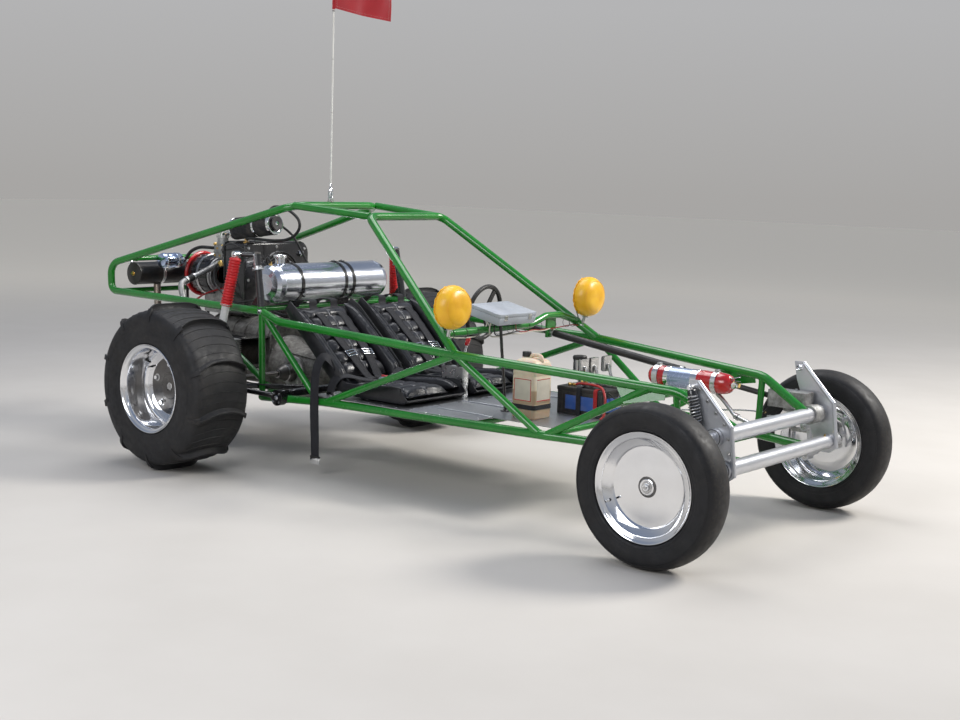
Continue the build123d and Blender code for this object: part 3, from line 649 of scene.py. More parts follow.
def bar(S, centre, size, mat, x_dir=(1, 0, 0), z_dir=(0, 0, 1), r=2, edge=1):
    c = Vector(centre)
    u, v, w = basis(z_dir, x_dir)
    prism(S, rounded(size[0], size[1], r), c - w * size[2] / 2, w, u, size[2], mat, edge)


def bolt(S, p, axis, size=8, high=6, mat="steel", washer=True, dome=False, ref=None):
    """Hexagon head on its washer; size is the half width across corners."""
    if washer:
        lathe(S, [(0, 0), (size * 1.35, 0), (size * 1.45, 0.6), (size * 1.35, 1.6), (0, 1.6)], p, axis, mat, 20)
    o = Vector(p) + Vector(axis).normalized() * (1.4 if washer else 0)
    if dome:
        lathe(S, [(size, 0), (size, high * 0.4), (size * 0.8, high * 0.8), (size * 0.4, high), (0, high * 1.05)], o, axis, mat, 20)
    else:
        lathe(S, [(size, 0), (size, high * 0.8), (size * 0.88, high), (0, high)], o, axis, mat, 6, ref=ref)


def torus(S, centre, axis, R, r, mat, n=48, m=10, arc=None):
    prof = [(R + r * math.cos(2 * math.pi * k / m), r * math.sin(2 * math.pi * k / m)) for k in range(m)]
    lathe(S, prof, centre, axis, mat, n, closed=True)


def weld(S, a, b, rb, c, d, ra, mat="green", r=2.7, n=48):
    """Weld bead where the bar a-b meets the tube c-d at b."""
    a, b, c, d = Vector(a), Vector(b), Vector(c), Vector(d)
    w, e = (b - a).normalized(), (d - c).normalized()
    u = w.orthogonal().normalized()
    v = w.cross(u)
    pts = []
    for i in range(n):
        t = 2 * math.pi * i / n
        q = b + (u * math.cos(t) + v * math.sin(t)) * rb - w * 400
        m = q - c
        A = w - e * w.dot(e)
        B = m - e * m.dot(e)
        qa, qb, qc = A.dot(A), 2 * A.dot(B), B.dot(B) - ra * ra
        disc = qb * qb - 4 * qa * qc
        if qa < 1e-9:
            return
        k = (-qb - math.sqrt(disc)) / (2 * qa) if disc > 0 else -qb / (2 * qa)
        pts.append(q + w * k)
    ripple = [1 + 0.22 * math.sin(i * 2.1) for i in range(n)]
    sweep(S, pts, circle(r, 6), mat, None, False, True, ripple)


def dress(name, mat):
    """Gives a CAD node its finish."""
    o = nodes[name]
    o.data.materials.clear()
    o.data.materials.append(M[mat])
    for p in o.data.polygons:
        p.material_index = 0


# --------------------------------------------------------------------------- wheels
front_rim = [(15.6, 26), (15.6, -46), (17, -50), (34, -50), (36.5, -48), (36.5, 6), (40, 17), (100, 16.5), (147, 15.5),
             (155, 19), (177, 33), (180.5, 30), (181, -44), (186, -48.5), (194, -51.5), (200, -55.5), (204, -58.8),
             (206.3, -59.4), (207.5, -57.6), (207.3, -54), (203, -51.6), (197, -49.6), (190.2, -47), (190.2, 47),
             (197, 49.6), (203, 51.6), (207.3, 54), (207.5, 57.6), (206.3, 59.4), (204, 58.8), (200, 55.5),
             (195, 51.8), (189, 49.6), (185.2, 47.6), (183.6, 44.5), (181, 41.5), (158, 27.6), (154, 25.4), (151.8, 22.4),
             (149.5, 20.2), (146, 20.0), (120, 21.2), (90, 22.2), (55, 22.9), (31, 23), (30, 23.8), (30, 27.5), (28, 28.6), (22, 28.6)]
rear_rim_barrel = [(134, 14), (134, 19.5), (150, 20.5), (166, 23), (175, 29), (179.5, 37), (180.5, 48), (181.5, 132), (183, 138),
                   (186, 141.5), (188.5, 145), (192, 146.6), (197, 148.4), (200.5, 151.4), (203.5, 155), (206.2, 156),
                   (207.5, 154.2), (207.3, 150.4), (203, 147.8), (197, 146), (190.2, 143.4), (190.2, -127.4),
                   (197, -130), (203, -132), (207.3, -134.4), (207.5, -138), (206.2, -139.8), (203.5, -139),
                   (200, -136), (194, -132), (187, -129), (183, -124), (180, 20), (174, 17), (166, 14), (150, 12)]
rear_rim_centre = [(20.3, 30), (20.3, -68), (22, -70), (56, -70), (58, -68), (58, 4), (62, 12), (133.5, 13), (136, 16),
                   (136, 19), (133, 21.5), (70, 23), (63, 24.5), (61, 28), (58, 30.5), (24, 30.5)]


def tyre_profile(points, per=5):
    return curve2(points, per)


front_tyre = tyre_profile([(190.5, 44), (190.6, 47.5), (199, 50), (208, 52.4), (211, 57), (214, 63), (221, 66.5), (232, 68.6),
                           (247, 71.2), (262, 71.8), (277, 69.8), (289, 63.2), (298, 51.5), (304, 35), (307, 18), (308, 0),
                           (307, -18), (304, -35), (298, -51.5), (289, -63.2), (277, -69.8), (262, -71.8), (247, -71.2),
                           (232, -68.6), (221, -66.5), (214, -63), (211, -57), (208, -52.4), (199, -50), (190.6, -47.5), (190.5, -44)], 3)
rear_tyre = tyre_profile([(190.5, 140), (190.6, 143.8), (199, 146), (208, 148.8), (211.5, 152.5), (216, 155.8), (224, 156.8), (232, 157.2),
                          (250, 159.4), (272, 159.8), (300, 158.6), (322, 155.8), (338, 150.6), (350, 141.5), (357.5, 126),
                          (361.5, 100), (363.2, 60), (364, 20), (364, -22), (363.2, -62), (361.5, -102), (357.5, -128),
                          (350, -143.5), (338, -152.6), (322, -157.6), (300, -160.6), (272, -161.6), (250, -161.4),
                          (232, -158.5), (224, -157.4), (216, -154), (211.5, -147), (208, -133), (199, -130.2), (190.6, -128), (190.5, -124)], 3)


def carcass(t):
    """Tread radius of the rear tyre at a distance t from its middle plane."""
    a = abs(t)
    xs = (0, 22, 62, 102, 128, 143, 152, 157)
    rs = (364, 364, 363.2, 361.5, 357.5, 350, 338, 322)
    return float(np.interp(a, xs, rs))


def tip(t):
    a = abs(t)
    return float(np.interp(a, (0, 83, 103, 133, 147, 156), (389.6, 389.6, 387.6, 377.5, 358, 330)))


def on_wheel(x, y, z, s, phi, r, t):
    return (x + r * math.cos(phi), y + s * t, z + r * math.sin(phi))


def sunk_ring(S, x, y, z, s, t, radius, r, mat):
    torus(S, (x, y + s * t, z), (0, s, 0), radius, r, mat, 96, 8)


for corner, s, x, y, z in (("front_left", 1, 2551.0, 698.0, 308.0), ("front_right", -1, 2551.0, -698.0, 308.0)):
    body = "wheel_" + corner
    R = Shape("rim_look_" + corner, body, (x, y, z), "polished_aluminium", ("rim_" + corner,), 28)
    lathe(R, front_rim, (x, y, z), (0, s, 0), "spun", 128, True)
    # washer, nut and dust ring of the spindle mount
    lathe(R, [(0, 41.5), (6, 41.5), (7, 40.6), (7, 37)], (x, y, z), (0, s, 0), "steel", 24)
    lathe(R, [(14.5, 28.5), (14.5, 36), (12.5, 38), (7, 38)], (x, y, z), (0, s, 0), "chrome", 6)
    lathe(R, [(15, 28.2), (21, 28.2), (21.6, 29.4), (21, 30.6), (14, 30.6)], (x, y, z), (0, s, 0), "steel", 40)
    lathe(R, [(30.2, 24.5), (38, 23.4), (40, 22.6)], (x, y, z), (0, s, 0), "dark_steel", 48)
    # valve stem
    a = math.radians(205)
    p = Vector(on_wheel(x, y, z, s, a, 168, 36))
    out = Vector((-math.cos(a) * 0.35, s * 0.93, -math.sin(a) * 0.35))
    lathe(R, [(5.5, -2), (5.5, 3), (4, 6), (3.4, 17), (3.4, 18)], p, out, "hose", 14)
    lathe(R, [(4.3, 17), (4.3, 24), (3.2, 26), (0, 26)], p, out, "chrome", 12)
    R.make()
    T = Shape("tyre_look_" + corner, body, (x, y, z), "tyre_rubber", ("tyre_" + corner,), 40)
    lathe(T, front_tyre, (x, y, z), (0, s, 0), "tyre", 144)
    for t, rr, w in ((68.9, 236, 1.1), (68.9, -1, 0), (69.6, 281, 0.9), (66.8, 222, 1.2)):
        if rr > 0:
            for k in (1, -1):
                torus(T, (x, y + k * s * t, z), (0, s, 0), rr, w, "tyre", 120, 6)
    T.make()

for corner, s, x, y, z in (("rear_left", 1, 0.0, 860.0, 390.0), ("rear_right", -1, 0.0, -860.0, 390.0)):
    body = "wheel_" + corner
    R = Shape("rim_look_" + corner, body, (x, y, z), "polished_aluminium", ("rim_" + corner,), 28)
    lathe(R, rear_rim_barrel, (x, y, z), (0, s, 0), "spun", 128, True)
    lathe(R, rear_rim_centre, (x, y, z), (0, s, 0), "centre", 96, True)
    # weld between barrel and centre
    ring = [Vector(on_wheel(x, y, z, s, 2 * math.pi * i / 180, 137, 20.6)) for i in range(180)]
    sweep(R, ring, circle(2.2, 6), "spun", None, False, True, [1 + 0.2 * math.sin(i * 2.3) for i in range(180)])
    for i in range(5):
        a = math.radians(90 + 72 * i)
        p = on_wheel(x, y, z, s, a, 102.5, 22)
        lathe(R, [(17, 0), (17, 1.5), (13, 3.2), (12, 3.4)], p, (0, s, 0), "steel", 24)
        bolt(R, (p[0], p[1] + s * 2, p[2]), (0, s, 0), 11, 12, "chrome", False)
    lathe(R, [(20, 24), (20, 29), (17, 31), (0, 31)], (x, y, z), (0, s, 0), "steel", 6)
    a = math.radians(150)
    p = Vector(on_wheel(x, y, z, s, a, 158, 22))
    lathe(R, [(5.5, -2), (5.5, 3), (4, 6), (3.4, 20)], p, (0, s, 0), "hose", 14)
    lathe(R, [(4.3, 20), (4.3, 27), (3.2, 29), (0, 29)], p, (0, s, 0), "chrome", 12)
    R.make()

    T = Shape("tyre_look_" + corner, body, (x, y, z), "tyre_rubber", ("tyre_" + corner,), 40)
    lathe(T, rear_tyre, (x, y, z), (0, s, 0), "paddle", 160)
    for t, rr, w in ((157.6, 234, 1.4), (159.5, 296, 1.2), (156.8, 219, 1.2)):
        torus(T, (x, y + s * (t - 1.2), z), (0, s, 0), rr, w, "paddle", 140, 6)
    for i in range(10):
        phi0 = math.radians(24 + 36 * i)
        verts, faces = [], []
        ts = [155.5 - 311 * k / 64 for k in range(65)]
        m = 9
        for t in ts:
            rb, rt = carcass(t), tip(t)
            rt = max(rt, rb - 4)
            lead = math.radians(7.5) * (abs(t) / 155) ** 2.2
            phi = phi0 - lead
            edge_thin = 1.0 - 0.35 * (abs(t) / 155) ** 3
            sec = [(-19 * edge_thin, rb - 3), (-14 * edge_thin, rb + 2.5), (-8 * edge_thin, rb + 0.55 * (rt - rb)),
                   (-5.2, rt - 1.6), (-3.2, rt), (3.6, rt), (5.6, rt - 1.6), (3.6, rb + 0.4 * (rt - rb)), (10, rb - 3)]
            for c, r in sec:
                verts.append(on_wheel(x, y, z, s, phi - c / 375.0, r, t))
        for a in range(len(ts) - 1):
            for b in range(m):
                b2 = (b + 1) % m
                faces.append((a * m + b, a * m + b2, (a + 1) * m + b2, (a + 1) * m + b))
        faces.append(tuple(range(m)))
        faces.append(tuple((len(ts) - 1) * m + b for b in range(m))[::-1])
        T.add(verts, faces, "paddle")
        # shoulder block at each end of a paddle
        for k in (1, -1):
            verts, faces = [], []
            rows = 10
            for a in range(rows):
                q = a / (rows - 1)
                t = k * (136 + 24.0 * math.sin(q * math.pi / 2) * 0.98)
                r = 372 - 62 * q ** 1.3
                h = 7.5 * (1 - q) + 1.2
                half = 12 - 5 * q
                phi = phi0 - math.radians(5.6 + 2.2 * q)
                tt = min(abs(t) , 159.6) * k
                for c, dt in ((-half, -9), (-half, 0), (half, 0), (half, -9)):
                    verts.append(on_wheel(x, y, z, s, phi - c / r, r - (0 if dt else 0), tt + k * dt))
            for a in range(rows - 1):
                for b in range(4):
                    b2 = (b + 1) % 4
                    faces.append((a * 4 + b, a * 4 + b2, (a + 1) * 4 + b2, (a + 1) * 4 + b))
            faces += [(0, 1, 2, 3), tuple((rows - 1) * 4 + b for b in (3, 2, 1, 0))]
            T.add(verts, faces, "paddle")
        # fine ribs between the paddles
        for j in range(1, 5):
            phi = phi0 + math.radians(36 * j / 5)
            pts, ups = [], []
            for k in range(25):
                t = 132 - 264 * k / 24
                a = phi - math.radians(6.0) * (abs(t) / 155) ** 2.2
                pts.append(Vector(on_wheel(x, y, z, s, a, carcass(t) + 0.4, t)))
                ups.append(Vector((math.cos(a), 0, math.sin(a))))
            sweep(T, pts, [(-2.6, -1.5), (-1.3, 1.5), (1.3, 1.5), (2.6, -1.5)], "paddle", ups)
    T.make()

# --------------------------------------------------------------------------- more shape helpers
from mathutils.bvhtree import BVHTree


def loft(S, rings, mat, closed=False, caps=True):
    """Skin over rings of equal length."""
    m = len(rings[0])
    verts = [p for r in rings for p in r]
    faces = []
    n = len(rings)
    for i in range(n if closed else n - 1):
        i2 = (i + 1) % n
        for j in range(m):
            j2 = (j + 1) % m
            faces.append((i * m + j, i * m + j2, i2 * m + j2, i2 * m + j))
    if caps and not closed:
        faces.append(tuple(range(m))[::-1])
        faces.append(tuple((n - 1) * m + j for j in range(m)))
    S.add(verts, faces, mat)


def strip(S, points, normals, wide, thick, mat, per=6):
    """Flat webbing along smooth points; normals give the face's direction at each point."""
    c = curve(points, per)
    raw = curve(normals, per)
    up = [v.normalized() for v in raw]
    w, t = wide / 2, thick / 2
    sweep(S, c, [(-w, -t * 0.4), (-w + 1, -t), (w - 1, -t), (w, -t * 0.4), (w, t * 0.4), (w - 1, t), (-w + 1, t), (-w, t * 0.4)],
          mat, up)
    for k in (-1, 1):
        rail = [p + (tangents(c)[i].cross(up[i]).normalized()) * (k * (w - 5)) + up[i] * (t + 0.2) for i, p in enumerate(c)]
        sweep(S, rail, circle(0.7, 5), mat)


def arc3(points, per=8):
    return curve(points, per)


# --------------------------------------------------------------------------- frame welds
W = Shape("frame_welds", "root", None, "green_tube", (), 60)


def both(a, b, rb, c, d, ra):
    for s in (1, -1):
        f = lambda p: (p[0], p[1] * s, p[2])
        weld(W, f(a), f(b), rb, f(c), f(d), ra)


cage_a, cage_b = (200, 498, 738), (-1050, 455, 745)
low_a, low_b = (620, 490, 352), (1880, 462, 372)
up_a, up_b = (330, 508, 700), (1445, 522, 661)
nose_a, nose_b = (1445, 522, 661), (2430, 345, 606)
both((200, 490, 325), (200, 498, 738), 16, cage_a, cage_b, 19)
both((200, 498, 738), (200, 490, 325), 16, (200, 490, 325), (620, 490, 352), 19)
both((222, 500, 720), (585, 490, 352), 16, (200, 490, 325), (620, 490, 352), 19)
both((1430, 520, 655), (635, 490, 353), 16, low_a, low_b, 19)
both((635, 490, 353), (1430, 520, 655), 16, up_a, up_b, 19)
both((1450, 520, 655), (1860, 462, 372), 16, low_a, low_b, 19)
both((1860, 462, 372), (1450, 520, 655), 16, nose_a, nose_b, 19)
both((200, 490, 410), (-420, 476, 745), 16, cage_a, cage_b, 19)
both((-420, 476, 745), (200, 490, 410), 16, (200, 490, 325), (200, 498, 738), 16)
both((2430, 318, 360), (2425, 345, 606), 14, nose_a, nose_b, 19)
both((1890, 460, 374), (2320, 366, 612), 16, nose_a, nose_b, 19)
both((663, 255, 1209), (1445, 522, 661), 19, up_a, up_b, 19)
both((1346, 380, 738), (1346, 486, 738), 16, (663, 255, 1209), (1445, 522, 661), 19)
for x, y, z in ((-1000, 456, 745), (110, 493, 739)):
    both((x, 0, z), (x, y, z), 14, cage_a, cage_b, 19)
both((-890, 0, 925), (-890, 434, 925), 14, (-1050, 455, 860), (190, 286, 1243), 19)
for x, y, z in ((214, 486, 326), (800, 486, 355), (1480, 472, 361), (1880, 462, 372)):
    both((x, 0, z), (x, y, z), 14, low_a, low_b, 19)
W.make()

# --------------------------------------------------------------------------- seats
spine = curve([(296, 0, 748), (350, 0, 699), (413, 0, 641), (527, 0, 536), (608, 0, 462), (655, 0, 420), (705, 0, 397),
               (780, 0, 390), (930, 0, 390), (1060, 0, 391), (1090, 0, 396), (1108, 0, 408)], 10)
spine_len = [0.0]
for a, b in zip(spine, spine[1:]):
    spine_len.append(spine_len[-1] + (b - a).length)
spine_x = np.array([p.x for p in spine])
spine_z = np.array([p.z for p in spine])
spine_t = np.array(spine_len)
spine_end = spine_len[-1]


def on_spine(t):
    x, z = np.interp(t, spine_t, spine_x), np.interp(t, spine_t, spine_z)
    e = 12.0
    t0, t1 = max(0, t - e), min(spine_end, t + e)
    dx = np.interp(t1, spine_t, spine_x) - np.interp(t0, spine_t, spine_x)
    dz = np.interp(t1, spine_t, spine_z) - np.interp(t0, spine_t, spine_z)
    k = math.hypot(dx, dz)
    return x, z, -dz / k, dx / k


def seat_point(t, side, h):
    x, z, nx, nz = on_spine(t)
    return Vector((x + nx * h, side, z + nz * h))


def side_height(t):
    return float(np.interp(t, (0, 60, 250, 440, 520, 590, 860, 915, spine_end), (74, 88, 94, 92, 68, 66, 92, 86, 58)))


def pad_blob(t0, t1, s0, s1, low, high, crown, nt, ns, corner=0.22, side=None):
    """A closed crowned pad in the seat's own (along, across, high) space."""
    verts, faces = [], []
    idx = {}

    def grid(level):
        for i in range(nt + 1):
            for j in range(ns + 1):
                u, v = 2 * i / nt - 1, 2 * j / ns - 1
                # round the pad's corners in plan
                m = max(abs(u), abs(v))
                q = (abs(u) ** 5 + abs(v) ** 5) ** 0.2
                k = m / q if q > 1e-9 else 1
                uu, vv = u * (1 - corner + corner * k), v * (1 - corner + corner * k)
                t = (t0 + t1) / 2 + uu * (t1 - t0) / 2
                w = (s0 + s1) / 2 + vv * (s1 - s0) / 2
                hi = high(t) if callable(high) else high
                rim = max(abs(u), abs(v))
                if level:
                    h = low + (hi - low) * 0.52 + (hi - low) * 0.48 * (1 - rim ** 6) + crown * (1 - u ** 4) * (1 - v ** 4)
                else:
                    h = low + (hi - low) * 0.48 * rim ** 6
                idx[(level, i, j)] = len(verts)
                verts.append(seat_point(t, w, h))
    grid(0)
    grid(1)
    for i in range(nt):
        for j in range(ns):
            faces.append((idx[1, i, j], idx[1, i + 1, j], idx[1, i + 1, j + 1], idx[1, i, j + 1]))
            faces.append((idx[0, i, j], idx[0, i, j + 1], idx[0, i + 1, j + 1], idx[0, i + 1, j]))
    ring = [(i, 0) for i in range(nt)] + [(nt, j) for j in range(ns)] + [(i, ns) for i in range(nt, 0, -1)] + \
           [(0, j) for j in range(ns, 0, -1)]
    for a, b in zip(ring, ring[1:] + ring[:1]):
        faces.append((idx[0, a[0], a[1]], idx[0, b[0], b[1]], idx[1, b[0], b[1]], idx[1, a[0], a[1]]))
    return verts, faces


def as_mesh(name, verts, faces):
    m = bpy.data.meshes.new(name)
    m.from_pydata([tuple(row(v)) for v in verts], [], faces)
    m.validate()
    bm = bmesh.new()
    bm.from_mesh(m)
    bmesh.ops.recalc_face_normals(bm, faces=bm.faces)
    bm.to_mesh(m)
    bm.free()
    return m


def coords(mesh):
    a = np.empty(len(mesh.vertices) * 3)
    mesh.vertices.foreach_get("co", a)
    return a.reshape(-1, 3)


def inflate(name, verts, faces, voxel=0.0065, pressure=4.0, cap=0.010):
    """Voxel remesh, cloth under pressure for 20 frames, capped, applied, subdivided once."""
    o = bpy.data.objects.new(name, as_mesh(name, verts, faces))
    bpy.context.scene.collection.objects.link(o)
    r = o.modifiers.new("remesh", "REMESH")
    r.mode = "VOXEL"
    r.voxel_size = voxel
    dg = bpy.context.evaluated_depsgraph_get()
    base = bpy.data.meshes.new_from_object(o.evaluated_get(dg))
    o.modifiers.clear()
    o.data = base
    start = coords(base)
    c = o.modifiers.new("swell", "CLOTH")
    c.settings.quality = 4
    c.settings.mass = 0.3
    c.settings.tension_stiffness = 18
    c.settings.compression_stiffness = 18
    c.settings.shear_stiffness = 6
    c.settings.bending_stiffness = 1.2
    c.settings.use_pressure = True
    c.settings.uniform_pressure_force = pressure
    c.settings.effector_weights.gravity = 0
    c.point_cache.frame_start = 1
    c.point_cache.frame_end = 20
    for f in range(1, 21):
        bpy.context.scene.frame_set(f)
    dg = bpy.context.evaluated_depsgraph_get()
    swollen = bpy.data.meshes.new_from_object(o.evaluated_get(dg))
    end = coords(swollen)
    o.modifiers.clear()
    if end.shape == start.shape and np.isfinite(end).all():
        d = end - start
        k = np.linalg.norm(d, axis=1)
        f = np.where(k > 1e-9, cap * np.tanh(k / cap) / np.maximum(k, 1e-9), 0)
        base.vertices.foreach_set("co", (start + d * f[:, None]).ravel())
        base.update()
    bpy.context.scene.frame_set(1)
    s = o.modifiers.new("smooth", "SUBSURF")
    s.levels = s.render_levels = 1
    dg = bpy.context.evaluated_depsgraph_get()
    fine = bpy.data.meshes.new_from_object(o.evaluated_get(dg))
    bpy.data.objects.remove(o)
    return fine


def thinned(mesh, ratio):
    """The same pad with fewer faces where it is plain."""
    o = bpy.data.objects.new("thin", mesh)
    bpy.context.scene.collection.objects.link(o)
    d = o.modifiers.new("thin", "DECIMATE")
    d.ratio = ratio
    dg = bpy.context.evaluated_depsgraph_get()
    less = bpy.data.meshes.new_from_object(o.evaluated_get(dg))
    bpy.data.objects.remove(o)
    return less


def seat_space(co):
    """(along, across, high) of metre coordinates, by the nearest point of the spine."""
    x, z = co[:, 0] * 1000 + AHEAD, co[:, 2] * 1000
    ts = np.arange(0, spine_end + 0.1, 3.0)
    px, pz = np.interp(ts, spine_t, spine_x), np.interp(ts, spine_t, spine_z)
    best = np.full(len(x), 1e18)
    t = np.zeros(len(x))
    for a, b, c in zip(ts, px, pz):
        d = (x - b) ** 2 + (z - c) ** 2
        hit = d < best
        best[hit], t[hit] = d[hit], a
    n = np.array([on_spine(v)[2:] for v in ts])
    k = np.searchsorted(ts, t)
    k = np.clip(k, 0, len(ts) - 1)
    nx, nz = n[k, 0], n[k, 1]
    h = (x - px[k]) * nx + (z - pz[k]) * nz
    return t, co[:, 1] * 1000, h, nx, nz


def press(mesh, rule):
    """Moves points along the seat's own normal by rule(along, across, high) millimetres."""
    co = coords(mesh)
    t, s, h, nx, nz = seat_space(co)
    d = rule(t, s, h) / 1000
    co[:, 0] += nx * d
    co[:, 2] += nz * d
    mesh.vertices.foreach_set("co", co.ravel())
    mesh.update()


def tufts(first, pitch, half, deep=8.5, puff=3.5, top=26):
    def rule(t, s, h):
        u = (t - first) / pitch
        f = np.abs(u - np.round(u)) * pitch
        on = np.clip((h - top) / 12, 0, 1)
        wavy = 2.2 * np.sin(s / 37.0 + np.round(u) * 1.7)
        f = np.abs((t + wavy - first) / pitch - np.round((t + wavy - first) / pitch)) * pitch
        groove = np.exp(-(f / 5.0) ** 2) + 0.45 * np.exp(-(f / 14.0) ** 2)
        middle = np.exp(-(s / 5.5) ** 2) + 0.35 * np.exp(-(s / 18.0) ** 2)
        edge = np.clip((half - np.abs(s)) / 26, 0, 1) ** 0.5
        return on * (puff * np.cos(math.pi * f / pitch) * 0 + puff * (1 - np.exp(-(f / 16.0) ** 2)) - deep * groove * edge
                     - 5.0 * middle * (1 - 0.6 * np.exp(-(f / 9.0) ** 2)))
    return rule


def creases(t, s, h):
    """Soft folds where the bolster bends from the back to the base."""
    out = np.zeros(len(t))
    for c, w, d in ((500, 8, 4.5), (524, 7, 3.2), (476, 6, 2.6), (552, 9, 2.2), (120, 10, 1.6), (300, 12, 1.6), (760, 11, 1.8)):
        out -= d * np.exp(-((t - c + 4 * np.sin(s / 19.0)) / w) ** 2)
    return out * np.clip((h - 40) / 30, 0, 1)


back_fill = inflate("back_fill", *pad_blob(12, 468, -148, 148, 7, lambda t: float(np.interp(t, (0, 60, 468), (40, 45, 43))), 8, 60, 40))
base_fill = inflate("base_fill", *pad_blob(494, 902, -148, 148, 5, lambda t: float(np.interp(t, (494, 600, 902), (30, 34, 46))), 7, 54, 40))
side_fill = inflate("side_fill", *pad_blob(6, 905, 158, 203, 5, lambda t: side_height(t) - 13, 5, 110, 9, 0.1), cap=0.007)
press(back_fill, tufts(24, 72, 150))
press(base_fill, tufts(510, 74, 150, 7.0, 3.0, 20))
press(side_fill, creases)
back_fill, base_fill, side_fill = thinned(back_fill, 0.4), thinned(base_fill, 0.4), thinned(side_fill, 0.36)


def placed(name, mesh, dy, mirror=False, mat="vinyl", hard=None):
    m = mesh.copy()
    m.name = name
    co = coords(m)
    if mirror:
        co[:, 1] *= -1
    co[:, 1] += dy / 1000
    m.vertices.foreach_set("co", co.ravel())
    if mirror:
        m.flip_normals()
    m.materials.clear()
    m.materials.append(M[mat])
    m.polygons.foreach_set("material_index", [0] * len(m.polygons))
    m.polygons.foreach_set("use_smooth", [True] * len(m.polygons))
    m.update()
    o = bpy.data.objects.new(name, m)
    bpy.context.scene.collection.objects.link(o)
    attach(o, "root")
    return o


def ray_down(mesh):
    co = coords(mesh)
    tree = BVHTree.FromPolygons([tuple(c) for c in co], [tuple(p.vertices) for p in mesh.polygons])

    def top(t, s):
        a = row(seat_point(t, s, 190))
        x, z, nx, nz = on_spine(t)
        hit = tree.ray_cast(a, Vector((-nx, 0, -nz)))[0]
        if hit is None:
            return None
        return Vector((hit.x * 1000 + AHEAD, hit.y * 1000, hit.z * 1000)), Vector((nx, 0, nz))
    return top


